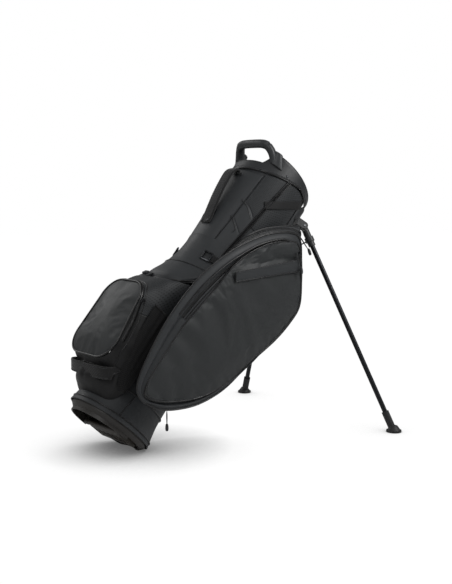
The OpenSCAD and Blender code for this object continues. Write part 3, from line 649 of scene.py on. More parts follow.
def makeTubeTrim():
    for side, word in ((near, "near"), (far, "far")):
        tubePatch(word + "PerforatedInsert", seams["spine"], seams["diagonal"],
                  lambda u: 694 - 12 * u - 24 * u * u, lambda u: 792 + 26 * u, 0.9, "perforatedFabric", side)
        tubePatch(word + "SmoothInsert", seams["spine"], seams["diagonal"], lambda u: 560 - 40 * u,
                  lambda u: 640 - 40 * u, 0.8, "spineFabric", side)
        tubePatch(word + "ChevronInsert", seams["spine"], seams["diagonal"], lambda u: 642 - 40 * u,
                  lambda u: 692 - 12 * u - 24 * u * u, 1.5, "coatedFabric", side)
        front = [(66, 822), (62, 740), (58, 640), (54, 560)]
        tubePatch(word + "FrontInsert", seams["diagonal"], front, lambda u: 640 - 20 * u,
                  lambda u: 815 + 6 * u, 0.9, "perforatedFabric", side, across=26)
        lines = [tubeLine([(side * a, s) for a, s in seams["spine"]], 0.7)]
        for key in ("chevronLow", "chevronHigh"):
            lines.append(tubeLine([(side * a, s) for a, s in seams[key]], 1.7))
        strands(word + "PanelSeams", lines, 0.8, "pipingVinyl")
        double = [tubeLine([(side * (a + shift), s) for a, s in seams["diagonal"]], 3.2)
                  for shift in (-1.9, 1.9)]
        strands(word + "DoublePiping", double, 1.9, "pipingVinyl")
        middle = tubeLine([(side * a, s) for a, s in seams["diagonal"]], 2.4)
        strands(word + "PipingGroove", [middle], 1.0, "zipNylon")
        row = tubeLine([(side * (a - 2.6), s) for a, s in seams["spine"]], 0.5)
        stitches(word + "SpineStitches", [row], outward)
        frontSeam = tubeLine([(side * a, s) for a, s in front], 1.0)
        strands(word + "FrontPiping", [frontSeam], 1.5, "pipingVinyl")
    # welt and stitching under the moulded collar
    welt = []
    for k in range(240):
        angle = -180 + 1.5 * k
        a = math.radians(angle)
        welt.append(Vector((115.2 * math.cos(a), 115.2 * math.sin(a), collarSeam(angle) - 1)))
    strands("collarWelt", [welt], 2.1, "pipingVinyl", closed=True)
    row = [Vector((q.x / 115.2 * 116.4, q.y / 115.2 * 116.4, q.z + 6)) for q in welt + welt[:1] if q.x < 80]
    stitches("collarStitches", [row], outward, 5.0, 3.2)
    low = [onTube(a, 26, 1.2) for a in range(-180, 180, 4)]
    high = [onTube(a, 92, 0.8) for a in range(-180, 180, 4)]
    strands("baseBandPiping", [low, high], 1.6, "pipingVinyl", closed=True)
    upright = [tubeLine([(side * 118, 28), (side * 116, 60), (side * 114, 92)], 1.0) for side in (near, far)]
    strands("baseBandJoins", upright, 1.3, "pipingVinyl")


def makeSpine():
    panel = {"low": 470, "high": 786, "lowHalf": 28, "highHalf": 41.5, "out": 1.6}

    def place(u, v):
        half = panel["lowHalf"] + (panel["highHalf"] - panel["lowHalf"]) * v
        ease = min(1, 8 * min(u, 1 - u) + 0.2) * min(1, 12 * min(v, 1 - v) + 0.2)
        s = panel["low"] + (panel["high"] - panel["low"]) * v
        return onTube(180 + half * (2 * u - 1), s, panel["out"] * ease)
    piece = finish(bentGrid(place, 36, 60, (110, 196)), "spineInsert", "spineFabric",
                   solid=1.2)
    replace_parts(piece, "spine_panel")


elastic = {"route": [(-46, -102, 714), (-26, -109, 732), (-3, -112, 752), (23, -110, 775), (52, -99, 800)],
           "wide": 22, "thick": 2, "out": 3.0}


def makeElastic():
    onSkin = []
    for q in smoothLine(elastic["route"], 14):
        a = math.degrees(math.atan2(q.y, q.x))
        onSkin.append(onTube(a, q.z, elastic["out"]))
    section = strap(elastic["wide"], elastic["thick"])
    piece = finish(sweep(onSkin, lambda t, q: outward(q), section), "elasticBand", "liningFabric")
    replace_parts(piece, "elastic_band")


makeTube()
makeCollar()
makeTubeTrim()
makeSpine()
makeElastic()
print("tube dressed")


# Handles
grip = {"wide": 24, "high": 22, "steps": 10,
        "half": [(-80, 73, 838), (-92, 71, 850), (-106, 66, 860), (-118, 57, 866), (-124, 43, 868),
                 (-125, 20, 869)],
        "screws": {"place": (-86.5, 83, 843), "facing": (-0.72, 0.69, 0.05), "radius": 3.2, "high": 1.4}}


def makeGrip():
    half = grip["half"]
    path = smoothLine(half + [(p, -y, s) for p, y, s in reversed(half)], grip["steps"])

    def swell(t):
        end = max(0, 1 - min(t, 1 - t) / 0.24)
        sleeve = 0.8 if 0.27 < t < 0.73 else 0
        groove = -1.2 if abs(abs(t - 0.5) - 0.23) < 0.012 else 0
        return end, sleeve + groove

    total = lengthOf(path)
    section = []
    for k in range(24):
        c, z = math.cos(2 * math.pi * k / 24), math.sin(2 * math.pi * k / 24)

        def shape(along, c=c, z=z):
            end, more = swell(along / total)
            wide = grip["wide"] / 2 + 2 * end + more
            high = grip["high"] / 2 - 1.5 * end + more
            power = 0.86
            return (math.copysign(abs(c) ** power, c) * wide, math.copysign(abs(z) ** power, z) * high)
        section.append(shape)
    loop = sweep(path, lambda t, q: Vector((q.x * 0.5, q.y * 0.35, 60)).normalized(), section)
    piece = finish(loop, "gripLoop", "gripRubber")
    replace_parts(piece, "grab_handle")
    # each root spreads forward over the collar's cheek
    for side, word in ((near, "near"), (far, "far")):
        def root(u, v):
            a = 2 * math.pi * u
            angle = math.radians(138 - 3.5 * v)
            half, thick = 12.5 + 12 * v ** 1.4, 11.5 - 3 * v
            x = half * math.copysign(abs(math.cos(a)) ** 0.8, math.cos(a)) + 9 * v
            z = thick * math.copysign(abs(math.sin(a)) ** 0.8, math.sin(a))
            r = 113 - 3 * v + z - x * x / 260
            turn = angle - x / 116
            return Vector((r * math.cos(turn), side * r * math.sin(turn), 864 - 36 * v - 0.1 * x))
        finish(bentGrid(root, 40, 18, (90, 40)), word + "GripRoot", "gripRubber", solid=2)
        # a black cord round each root's edge is painted shade for the gap between the root and the collar
        strands(word + "GripRootGapShade", [[root(k / 40, 1) for k in range(40)]], 1.4, "liningFabric",
                closed=True)


def makeGripScrews():
    screw = grip["screws"]
    (p, y, s), (a, b, c) = screw["place"], screw["facing"]
    places = [((p, side * y, s), (a, side * b, c)) for side in (near, far)]
    piece = makeStuds("gripScrews", places, screw["radius"], screw["high"], "blackNickel")
    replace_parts(piece, "handle_screws")


# Domed heads, each set square on the surface under it
def makeStuds(name, places, radius, high, look):
    bm = bmesh.new()
    for place, facing in places:
        turn = Matrix.Translation(place) @ Vector(facing).to_track_quat("Z", "Y").to_matrix().to_4x4()
        made = bmesh.ops.create_uvsphere(bm, u_segments=20, v_segments=10, radius=1,
                                         matrix=turn @ Matrix.Diagonal((radius, radius, high, 1)))
        low = [v for v in made["verts"] if (turn.inverted() @ v.co).z < -0.3 * high]
        bmesh.ops.delete(bm, geom=low, context="VERTS")
    bmesh.ops.holes_fill(bm, edges=bm.edges, sides=40)
    return finish(bm, name, look, "bag", placed=True)


carryHandle = {"wide": 38, "thick": 7, "ribPitch": 4.2, "ribHigh": 0.75, "plainFoot": 24, "plainHead": 14,
               "route": [(-108.5, 0, 598), (-110.5, 0, 612), (-115.5, 0, 632), (-120.5, 0, 652),
                         (-127, 0, 680), (-132.5, 0, 712), (-135.5, 0, 740), (-135, 0, 756),
                         (-129.5, 0, 768), (-122.5, 0, 772), (-117.4, 0, 768)],
               "rivets": [(-113.2, 603), (-121.5, 764)], "rivetOff": 12, "rivetRadius": 4, "rivetHigh": 1.6,
               "stitchOff": 15}


def makeCarryHandle():
    path = smoothLine(carryHandle["route"], 14)
    total = lengthOf(path)

    # the outer face is ribbed between its two plain ends
    def ribbed(x, z):
        def at(along):
            grown = 0
            if z > 1 and carryHandle["plainFoot"] < along < total - carryHandle["plainHead"]:
                wave = math.sin(2 * math.pi * along / carryHandle["ribPitch"])
                grown = carryHandle["ribHigh"] * max(0, wave)
            return (x, z + grown)
        return at
    section = [ribbed(x, z) for x, z in strap(carryHandle["wide"], carryHandle["thick"])]
    piece = finish(sweep(path, (-1, 0, 0.02), section), "carryHandle", "nylonWebbing")
    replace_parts(piece, "carry_handle")
    studs = []
    for p, s in carryHandle["rivets"]:
        studs += [((p, side * carryHandle["rivetOff"], s), (-1, 0, 0)) for side in (near, far)]
    radius, high = carryHandle["rivetRadius"], carryHandle["rivetHigh"]
    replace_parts(makeStuds("carryRivets", studs, radius, high, "blackNickel"), "carry_rivets")
    rows = []
    for side in (near, far):
        row = []
        for k, q in enumerate(path[8:-12]):
            out = -4.2 if 0.15 < k / len(path) < 0.9 else -3.9
            row.append(q + Vector((out, side * carryHandle["stitchOff"], 0)))
        rows.append(row)
    stitches("carryHandleStitches", rows, (-1, 0, 0), 4.5, 2.8)


lowHandle = {"wide": 32, "thick": 3.4, "stitchOff": 12, "stitchOut": 2.4,
             "route": [(-123, 84, 102), (-132, 89, 97), (-143, 84, 88), (-151, 56, 82), (-153, 0, 80),
                       (-151, -56, 82), (-143, -84, 88), (-132, -89, 97), (-123, -84, 102)]}


def makeLowHandle():
    path = smoothLine(lowHandle["route"], 10)
    face = Vector((-math.cos(lean), 0, -math.sin(lean)))

    def around(t, q):
        return (face + Vector((0, q.y / 90 * 0.9, 0))).normalized()
    section = strap(lowHandle["wide"], lowHandle["thick"])
    piece = finish(sweep(path, around, section), "lowHandle", "nylonWebbing")
    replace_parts(piece, "low_handle")
    across = Vector((-math.sin(lean), 0, math.cos(lean)))
    rows = [[q + face * lowHandle["stitchOut"] + across * side * lowHandle["stitchOff"] for q in path[12:-12]]
            for side in (near, far)]
    stitches("lowHandleStitches", rows, face, 4.5, 2.8)


ring = {"angle": 141, "radius": 110, "s": 503, "wide": 28, "bar": 4, "tabWide": 22, "tabThick": 2.6}


def makeRings():
    for side, word in ((near, "near"), (far, "far")):
        turn = Matrix.Rotation(math.radians(side * ring["angle"]), 4, "Z")
        bm = bmesh.new()
        bmesh.ops.create_cube(bm, size=1, matrix=Matrix.Translation((ring["radius"] + 2, 0, ring["s"]))
                              @ Matrix.Diagonal((ring["bar"], ring["wide"], ring["wide"], 1)))
        faces = [f for f in bm.faces if abs(f.normal.x) > 0.9]
        bmesh.ops.inset_region(bm, faces=faces, thickness=ring["bar"], use_even_offset=True)
        bmesh.ops.bridge_loops(bm, edges=[e for f in faces for e in f.edges])
        bmesh.ops.delete(bm, geom=faces, context="FACES_ONLY")
        bmesh.ops.bevel(bm, geom=bm.edges[:], offset=1.1, segments=3, profile=0.5, affect="EDGES", material=-1)
        bm.transform(turn)
        body = word + "_ring"
        piece = finish(bm, word + "StrapRing", "blackNickel", body)
        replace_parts(piece, word + "_strap_ring")
        start = ring["wide"] / 2 + 2

        ys = [start, start + 6, start + 12, start + 18, start + 22]
        out = [4.2, 3.6, 2.4, 1.6, 1.2]
        places = [(ring["radius"] + 1 + o - 2.4, -side * y, ring["s"]) for y, o in zip(ys, out)]
        path = smoothLine([turn @ Vector(q) for q in places], 6)
        section = strap(ring["tabWide"], ring["tabThick"])
        loop = finish(sweep(path, lambda t, q: outward(q), section), word + "RingTab", "nylonWebbing")
        if side == near:
            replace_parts(loop, "strap_tabs")


makeGrip()
makeGripScrews()
makeCarryHandle()
makeLowHandle()
makeRings()
print("handles made")


# Side pockets
nearPocket = {"y": 165, "root": 72, "centre": (30, 400), "side": near,
              "outline": [(-88, 88), (-62, 78), (-38, 81), (0, 92), (44, 122), (92, 172), (132, 246), (157, 345),
                          (187, 440), (199, 512), (195, 566), (153, 622), (116, 662), (80, 696), (48, 697),
                          (2, 662), (-45, 605), (-92, 518), (-124, 410), (-132, 290), (-122, 190), (-106, 118)],
              "panel": [(-68, 95), (-55, 91), (-27, 100), (16, 127), (76, 180), (121, 251), (150, 342), (181, 438),
                        (193, 512), (189, 562), (149, 617), (112, 655), (84, 680), (58, 678), (8, 634),
                        (-21, 594), (-45, 547), (-61, 495), (-65, 445), (-70, 402), (-78, 346), (-85, 282),
                        (-84, 202), (-80, 128)]}
farPocket = {"y": 138, "root": 72, "centre": (30, 340), "side": far,
             "outline": [(-30, 130), (20, 150), (75, 230), (112, 330), (128, 420), (112, 490), (60, 530),
                         (0, 520), (-36, 440), (-44, 300)],
             "panel": [(-24, 140), (20, 158), (70, 234), (104, 332), (118, 418), (103, 480), (56, 516),
                       (4, 506), (-27, 436), (-35, 302)]}
# The border's section from the panel out to the edge: share of the width, height
borderProfile = [(0, -0.5), (0.14, -5), (0.32, -8), (0.48, -3.5), (0.6, 1), (0.72, 0), (0.86, -3), (1, -4.5)]


def closedOutline(points, steps=10):
    return smoothLine([(p, s, 0) for p, s in points], steps, closed=True)


def segmentShare(q, a, b):
    d = (b[0] - a[0], b[1] - a[1])
    t = max(0, min(1, ((q[0] - a[0]) * d[0] + (q[1] - a[1]) * d[1]) / (d[0] ** 2 + d[1] ** 2)))
    return t, math.hypot(q[0] - a[0] - d[0] * t, q[1] - a[1] - d[1] * t)


# Long soft folds in the cloth: ends, width, height
nearFolds = [((-40, 440), (60, 330), 15, 2.4), ((-20, 470), (95, 400), 12, 2.0),
             ((-60, 380), (10, 250), 16, 2.2), ((70, 610), (150, 500), 14, 1.6),
             ((150, 560), (170, 440), 12, 1.4), ((-70, 300), (-20, 190), 14, 1.8),
             ((20, 430), (80, 300), 9, -1.8), ((-45, 410), (20, 310), 8, -1.4)]
farFolds = [((-10, 440), (50, 300), 12, 1.8), ((20, 480), (90, 420), 10, 1.4)]


def foldHeight(folds, p, s):
    total = 0
    for a, b, wide, high in folds:
        t, d = segmentShare((p, s), a, b)
        total += high * math.exp(-(d / wide) ** 2) * math.sin(math.pi * min(1, max(0, t * 0.9 + 0.05)))
    return total


bandEnds = {"left": ((-52, 486), (-36, 467)), "right": ((104, 657), (126, 634))}


# The low swell in the middle of the near pocket, which its face and its band share
def nearBelly(p, s):
    return 3.0 * math.exp(-(((p - 60) / 95) ** 2 + ((s - 330) / 150) ** 2))


# Height of the near pocket's face over its piping: a low crown, hollowed above the band
def nearFace(share, p, s):
    crown = 9.5 * (1 - share ** 3.2)
    over = (s - 484) - (p + 58) * 1.056
    hollow = -6.5 * math.exp(-((over - 14) / 17) ** 2) * (1 - share ** 6) if over > -6 else 0
    return crown + hollow + nearBelly(p, s) + foldHeight(nearFolds, p, s) * (1 - share ** 4)


def farFace(share, p, s):
    return 8.5 * (1 - share ** 3) + foldHeight(farFolds, p, s) * (1 - share ** 4)


def makeSidePocket(word, pocket, face, rows=46):
    side, centre = pocket["side"], Vector((*pocket["centre"], 0))
    outer, inner = closedOutline(pocket["outline"]), closedOutline(pocket["panel"])
    depth = pocket["y"] - pocket["root"]

    # the gusset: from the outline back to the tube, slack between its seams, drawn in at the back and below
    def gusset(u, v):
        q = pointOn(outer, u, True)
        left = min(1, max(0, (centre.x - q.x) / 120))
        under = min(1, max(0, (360 - q.y) / 150))
        drawn = max(left, under)
        size = 1 - (0.05 + 0.1 * drawn) * min(v / 0.42, 1) - (0.26 - 0.06 * drawn) * max(0, v - 0.42) / 0.58
        uneven = 1 + 0.8 * noise.noise(Vector((q.x / 60, q.y / 60, v * 2)))
        size += 0.012 * math.sin(math.pi * min(1, v / 0.42)) * uneven
        flat = centre + (q - centre) * size
        return Vector((flat.x, side * (pocket["y"] - 8 - depth * v), flat.y))
    bm = bentGrid(gusset, 192, 22, (1500, depth))
    soften(bm, 1.6, 42, 7)
    # the gusset takes the darker copy of the coated fabric: painted shade
    body = finish(bm, word + "PocketGusset", "paintedShadeFabric", solid=1.2)
    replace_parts(body, word + "_pocket")

    # the border that carries the zip, between the gusset's piping and the panel's
    def border(u, v):
        a, b = pointOn(outer, u, True), pointOn(inner, u, True)
        q = a.lerp(b, v)
        rise = profileAt(borderProfile, 1 - v) * min(1, (a - b).length / 34) if side == near else -3
        return Vector((q.x, side * (pocket["y"] - 4 + rise), q.y))
    bm = bentGrid(border, 288, 22, (1500, 30))
    # only the far border takes the darker copy: painted shade on the far side
    look = "paintedShadeFabric" if side == far else "coatedFabric"
    finish(bm, word + "PocketBorder", look, solid=1.0)
    centreIn = Vector((sum(q.x for q in inner) / len(inner), sum(q.y for q in inner) / len(inner), 0))

    # the crowned panel
    def panel(turn, share):
        q = centreIn + (pointOn(inner, turn, True) - centreIn) * share
        return Vector((q.x, side * (pocket["y"] - 5 + face(share, q.x, q.y)), q.y))
    bm = discGrid(panel, rows, (280, 590))
    soften(bm, 0.7, 38, 11)
    front = finish(bm, word + "PocketPanel", "pocketFabric", solid=1.0)
    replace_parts(front, word + "_pocket_panel")
    inflate(front, 0.9, 0.007, 5)
    for part, line, back in (("PanelPiping", inner, 4.6), ("PocketPiping", outer, 8)):
        rim = [Vector((q.x, side * (pocket["y"] - back), q.y)) for q in line]
        strands(word + part, [rim], 2.1, "pipingVinyl", closed=True)
    row = []
    for q in inner:
        drawn = centreIn + (q - centreIn) * 0.975
        row.append(Vector((drawn.x, side * (pocket["y"] - 3.4), drawn.y)))
    stitches(word + "PanelStitches", [row + row[:1]], (0, side, 0), 4.5, 2.8)
    return outer, inner


# A covered coil zip along a line: two tapes with raised lips over the closed teeth
def makeZip(name, line, facing, width):
    h = width / 2
    section = [(h, 0), (h, 0.8), (h * 0.55, 1.1), (1.6, 1.7), (0.7, 1.5), (0, 0.7), (-0.7, 1.5), (-1.6, 1.7),
               (-h * 0.55, 1.1), (-h, 0.8), (-h, 0), (0, -0.4)]
    finish(sweep(line, facing, section), name + "Tape", "zipNylon")

    def look(q):
        return facing(0, q) if callable(facing) else Vector(facing)
    stitches(name + "Teeth", [[q + look(q) * 0.9 for q in line]], look, 2.4, 1.3, 1.9, "bag", "zipNylon")


def makeSlider(name, node, place, along, facing):
    along, up = Vector(along).normalized(), Vector(facing).normalized()
    side = up.cross(along).normalized()
    turn = Matrix.Translation(place) @ Matrix((along, side, up)).transposed().to_4x4()
    bm = bmesh.new()
    bmesh.ops.create_cube(bm, size=1, matrix=turn @ Matrix.Diagonal((13, 8, 3, 1)))
    bmesh.ops.create_cube(bm, size=1, matrix=turn @ Matrix.Translation((1, 0, 2.6))
                          @ Matrix.Diagonal((8, 2.2, 2.6, 1)))
    bmesh.ops.bevel(bm, geom=bm.edges[:], offset=0.7, segments=2, profile=0.5, affect="EDGES", material=-1)
    piece = finish(bm, name, "blackNickel", placed=True)
    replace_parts(piece, node)


pull = {"cordRadius": 0.9, "drop": 36, "gripFrom": 32, "gripStep": 4,
        "gripRadii": [2.6, 3.7, 4.3, 4.4, 4.2, 3.0]}


# A cord pull: a loop of round cord and a moulded grip, hanging down from its slider
def makePull(name, node, body, top, swing):
    down = Vector((math.sin(lean), 0, -math.cos(lean)))        # straight down, in the upright bag
    top = Vector(top)
    drift = Vector((0, swing[0], 0)) + Vector((math.cos(lean), 0, math.sin(lean))) * swing[1]
    lines = []
    for shift in (-1.3, 1.3):
        apart = Vector((0, shift, 0))
        lines.append(smoothLine([top + Vector((shift * 0.2, 0, 0)), top + down * 8 + apart + drift * 0.2,
                                 top + down * 22 + apart + drift * 0.6, top + down * pull["drop"] + drift], 5))
    cord = strands(name + "Cord", lines, pull["cordRadius"], "liningFabric", body)
    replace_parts(cord, node)
    radii, step = pull["gripRadii"], pull["gripStep"]
    path = [top + down * (pull["gripFrom"] + step * k) + drift * (1 + 0.06 * k) for k in range(len(radii))]
    section = []
    for k in range(14):
        c, z = math.cos(2 * math.pi * k / 14), math.sin(2 * math.pi * k / 14)

        def shape(along, c=c, z=z):
            radius = radii[min(len(radii) - 1, round(along / step))]
            return (radius * c, radius * z)
        section.append(shape)
    finish(sweep(path, (0, -1, 0.01), section), name + "Grip", "gripRubber", body, subdivide=1)


def makeNearBand():
    (a, b), (c, d) = bandEnds["left"], bandEnds["right"]

    def place(u, v):
        low = (b[0] + (d[0] - b[0]) * u, b[1] + (d[1] - b[1]) * u)
        high = (a[0] + (c[0] - a[0]) * u, a[1] + (c[1] - a[1]) * u)
        p, s = low[0] + (high[0] - low[0]) * v, low[1] + (high[1] - low[1]) * v
        base = 13.5 + nearBelly(p, s)
        side = min(u, 1 - u)
        crown = 1.6 * min(1, side / 0.03) * math.sin(math.pi * min(1, max(0, v * 0.94 + 0.03))) ** 0.5
        return Vector((p, -(nearPocket["y"] - 5 + base + crown - 3.0 * max(0, u - 0.86) / 0.14), s))
    bm = bentGrid(place, 90, 14, (236, 26))
    band = finish(bm, "nearPocketBand", "coatedFabric", solid=1.6)
    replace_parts(band, "near_pocket_band")
    edges = [[place(k / 40, v) for k in range(41)] for v in (0, 1)]
    edges.append([place(0, k / 8) for k in range(9)])
    strands("nearBandPiping", edges, 1.1, "pipingVinyl")
    rows = [[place(k / 60, v) + Vector((0, -0.7, 0)) for k in range(1, 60)] for v in (0.12, 0.88)]
    stitches("nearBandStitches", rows, (0, -1, 0), 4.2, 2.6)


upperPocket = {"low": [(78, -157, 699), (48, -157, 700), (2, -157, 666), (-45, -157, 610), (-76, -156, 556),
                       (-92, -155, 505)],
               "top": [(66, -134, 738), (38, -134, 716), (8, -134, 687), (-25, -134, 653), (-58, -136, 602),
                       (-84, -140, 520)]}


def makeNearZips(outer, inner):
    y = nearPocket["y"]

    def along(share, rise, start=0.60, end=0.86):
        line = []
        for k in range(121):
            u = start + (end - start) * k / 120
            q = pointOn(inner, u, True).lerp(pointOn(outer, u, True), share)
            line.append(Vector((q.x, -(y - 4 + rise), q.y)))
        return line
    makeZip("mainZip", along(0.32, -7), (0, -1, 0.001), 12)
    strands("mainZipRoll", [along(0.62, 1.2)], 2.6, "pipingVinyl")
    strands("mainZipWelt", [along(0.12, -2.5)], 1.6, "pipingVinyl")
    # a slim second pocket lies along the top of the large one, with its own zip
    low, top = smoothLine(upperPocket["low"], 12), smoothLine(upperPocket["top"], 12)

    def crescent(u, v):
        q = pointOn(low, u).lerp(pointOn(top, u), v)
        swell = math.sin(math.pi * v) * (5 - 2 * abs(2 * u - 1)) - 4 * math.exp(-((v - 0.5) / 0.12) ** 2)
        return q + Vector((-0.5, -0.6, 0.6)) * swell
    finish(bentGrid(crescent, 80, 18, (330, 45)), "upperPocket", "coatedFabric",
           solid=1.2)
    rows = [crescent(k / 80, 0.5) + Vector((0, -0.4, 0.4)) for k in range(81)]
    makeZip("upperZip", rows, (-0.45, -0.65, 0.6), 10)
    strands("upperZipPiping", [low, top], 2.0, "pipingVinyl")
    grooves = [[crescent(k / 80, v) for k in range(81)] for v in (0.22, 0.78)]
    strands("upperZipGroove", grooves, 1.2, "pipingVinyl")


nearOuter, nearInner = makeSidePocket("near", nearPocket, nearFace, 116)
makeNearBand()
makeNearZips(nearOuter, nearInner)
makeSidePocket("far", farPocket, farFace, 80)
farZipRoute = [(100, 132.5, 478), (58, 132.5, 522), (0, 132.5, 513), (-31, 132.5, 440), (-40, 132.5, 302)]
makeZip("farZip", smoothLine(farZipRoute, 12), (0, 1, 0.001), 12)
for word, place, along in (("near", (86, -172, 662), (-0.7, 0, 0.7)),
                           ("upper", (70, -148, 716), (-0.7, 0, 0.7)),
                           ("low", (36, -126, 112), (0.8, 0, 0.6))):
    makeSlider(word + "ZipSlider", word + "_zip_slider", place, along, (0, -1, 0))
for word, place, drift in (("near", (86, -177, 656), (-2, 5)), ("upper", (74, -152, 708), (-4, 26)),
                           ("low", (36, -132, 106), (0, 0))):
    makePull(word + "ZipPull", word + "_zip_pull", word + "_pull", place, drift)
print("side pockets made")


# Ball pocket, saddle and bottle sleeves
ball = {"foot": (-170, 0, 110), "tilt": 5.5, "half": 100, "taper": 14, "corner": 57, "length": 222}


def ballPoint(x, y, z):
    t = math.radians(ball["tilt"])
    p, s = ball["foot"][0], ball["foot"][2]
    return Vector((p + x * math.cos(t) - z * math.sin(t), y, s + x * math.sin(t) + z * math.cos(t)))


# Round-cornered outline as (y, z), anticlockwise from the low near corner, in even steps
def roundedOutline(lowHalf, highHalf, low, high, r, steps=12):
    line = []
    corners = [(-(lowHalf - r), low + r, 180), (lowHalf - r, low + r, 270), (highHalf - r, high - r, 0),
               (-(highHalf - r), high - r, 90)]
    for y, z, start in corners:
        for k in range(steps + 1):
            a = math.radians(start + 90 * k / steps)
            line.append(Vector((y + r * math.cos(a), z + r * math.sin(a), 0)))
    even = []
    n = 160
    total = sum((line[i] - line[(i + 1) % len(line)]).length for i in range(len(line)))
    gone, i, step = 0.0, 0, total / n
    for k in range(n):
        want = k * step
        while True:
            span = (line[(i + 1) % len(line)] - line[i]).length
            if gone + span >= want or i >= len(line) - 1:
                break
            gone += span
            i += 1
        even.append(line[i].lerp(line[(i + 1) % len(line)], min(1, (want - gone) / max(span, 1e-6))))
    return even


# The saddle's lower edge: degrees off the middle, radius, height
saddleEdge = [(0, 140, 383), (15, 140, 383), (34, 140.6, 397), (44, 131, 414), (53, 120, 434), (60, 112, 446)]


def edgeAt(off):
    for (a, r, s), (b, q, w) in zip(saddleEdge, saddleEdge[1:]):
        if off <= b:
            x = (off - a) / (b - a)
            return r + (q - r) * x, s + (w - s) * x
    return saddleEdge[-1][1:]


def eased(x):
    x = min(1, max(0, x))
    return x * x * (3 - 2 * x)


# Rails from the panel's rim to the seam behind it, on to the belly and back to the tube or the saddle
def ballRails(y, z):
    side = -1 if y < 0 else 1
    full = min(1, abs(y) / 60)
    rim = ballPoint(0, y, z)
    off = 51 * min(1, abs(y) / 86)
    r, s = edgeAt(off)
    turn = math.radians(off)
    over = Vector((-(r - 3) * math.cos(turn), side * (r - 3) * math.sin(turn), s - 1))
    topMid = ballPoint(13, y, z + 8)
    depths = [(0, 30), (23, 20), (59, 24), (124, 27), (194, 14), (222, 12)]
    d = 14
    for (z0, d0), (z1, d1) in zip(depths, depths[1:]):
        if z0 <= z <= z1:
            d = d0 + (d1 - d0) * (z - z0) / (z1 - z0)
    sideMid = ballPoint(d, side * (abs(y) - 1), z)
    sideBack = Vector((-66, side * 93, 60 + z / 222 * 350))
    skin = 0.82 * y
    lowMid = Vector((-158 + 0.0036 * y * y, y * 0.97, 98))
    lowBelly = Vector((-150 + 0.0066 * y * y, y * 0.93, 62))
    lowBack = Vector((-math.sqrt(max(109 ** 2 - skin ** 2, 1)), skin, 40))
    up = eased((z - 168) / 48)
    down = eased((52 - z) / 46) * (1 if abs(y) < 86 else eased((100 - abs(y)) / 14))
    mid = sideMid.lerp(topMid, up).lerp(lowMid, down)
    back = sideBack.lerp(over, up).lerp(lowBack, down)
    belly = (mid.lerp(back, 0.5) + Vector((-3 * up, side * 5 * full * (1 - up), 9 * up))).lerp(lowBelly, down)
    return rim, mid, belly, back


def makeBallPocket():
    rim = roundedOutline(ball["half"], ball["half"] - ball["taper"], 0, ball["length"], ball["corner"])

    def shell(u, v):
        q = pointOn(rim, u, True)
        rails = ballRails(q.x, q.y)
        x = v * 3
        i = min(int(x), 2)
        four = [rails[max(i - 1, 0)], rails[i], rails[i + 1], rails[min(i + 2, 3)]]
        at = curvePoint(*four, x - i)
        lower = eased((150 - at.z) / 60)
        crease = 2.0 * lower * math.sin(at.y / 8 + 3 * noise.noise(at / 26)) * math.sin(math.pi * v)
        out = Vector((at.x * 0.2, at.y, 0)).normalized()
        return at + out * (crease + 2.0 * noise.noise(at / 40) * math.sin(math.pi * v))
    starts = [k for k in range(len(rim)) if rim[k].y > 150]
    low, high = starts[0] / len(rim), (starts[-1] + 1) / len(rim)

    def hood(u, v):
        return shell(low + (high - low) * u, v)

    def lower(u, v):
        return shell((high + (1 + low - high) * u) % 1, v)
    finish(bentGrid(hood, 110, 40, (420, 120)), "ballPocketHood", "perforatedFabric",
           solid=1.2)
    # the lower shell takes the darker copy of the coated fabric: painted shade under the ball pocket
    body = finish(bentGrid(lower, 150, 44, (620, 120)), "ballPocketShell", "paintedShadeFabric",
                  solid=1.2)
    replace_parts(body, "ball_pocket")
    seam = [shell(k / 200, 1 / 3) for k in range(200)]
    strands("ballShellSeam", [seam], 1.7, "pipingVinyl", closed=True)
    centre = Vector((0, ball["length"] / 2 - 4, 0))

    def panel(turn, share):
        q = centre + (pointOn(rim, turn, True) - centre) * (share * 0.985)
        crown = 12 * (1 - share ** 2.6)
        folds = 1.6 * math.exp(-((q.x + 10) / 16) ** 2) * math.exp(-((q.y - 30) / 40) ** 2)
        folds += 1.2 * math.exp(-((q.x - 28) / 12) ** 2) * math.exp(-((q.y - 24) / 34) ** 2)
        return ballPoint(-2.5 - crown - folds * (1 - share ** 3), q.x, q.y)
    bm = discGrid(panel, 76, (190, 220))
    soften(bm, 0.8, 40, 9)
    front = finish(bm, "ballPanel", "pocketFabric", "flap", solid=1.4)
    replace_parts(front, "ball_flap")
    inflate(front, 0.7, 0.003, 5)
    edge = [centre + (q - centre) * 0.99 for q in rim]
    strands("ballPanelPiping", [[ballPoint(-3.4, q.x, q.y) for q in edge]], 2.3, "pipingVinyl", "flap",
            True)
    # the zip runs up both sides and over the top, midway between the panel's rim and the seam
    count = 240
    turns = [(0.52 + 0.96 * k / count) % 1 for k in range(count + 1)]
    line = [shell(u, 0.17) for u in turns if pointOn(rim, u, True).y > 58]

    def outer(t, q):
        return Vector((0, q.y, (q.z - 225) * 0.85)).normalized()
    makeZip("ballZip", [q + outer(0, q) * 0.6 for q in line], outer, 10)
    place = ballPoint(7, -(ball["half"] - ball["taper"]) - 1.5, 176)
    makeSlider("ballZipSlider", "ball_zip_slider", place, (0.05, 0, 1), (0, -1, 0.1))


saddle = {"profile": [(383, 141), (392, 144), (405, 141.5), (420, 136), (444, 125), (471, 115), (500, 108.5),
                      (540, 105), (560, 104)],
          "reach": 62, "top": 560, "seam": 458,
          "clip": {"place": (-150, 26, 380), "turn": -58, "base": (34, 24, 7), "keeper": (13, 17, 7)}}


def saddleRadius(s):
    return profileAt(saddle["profile"], s)


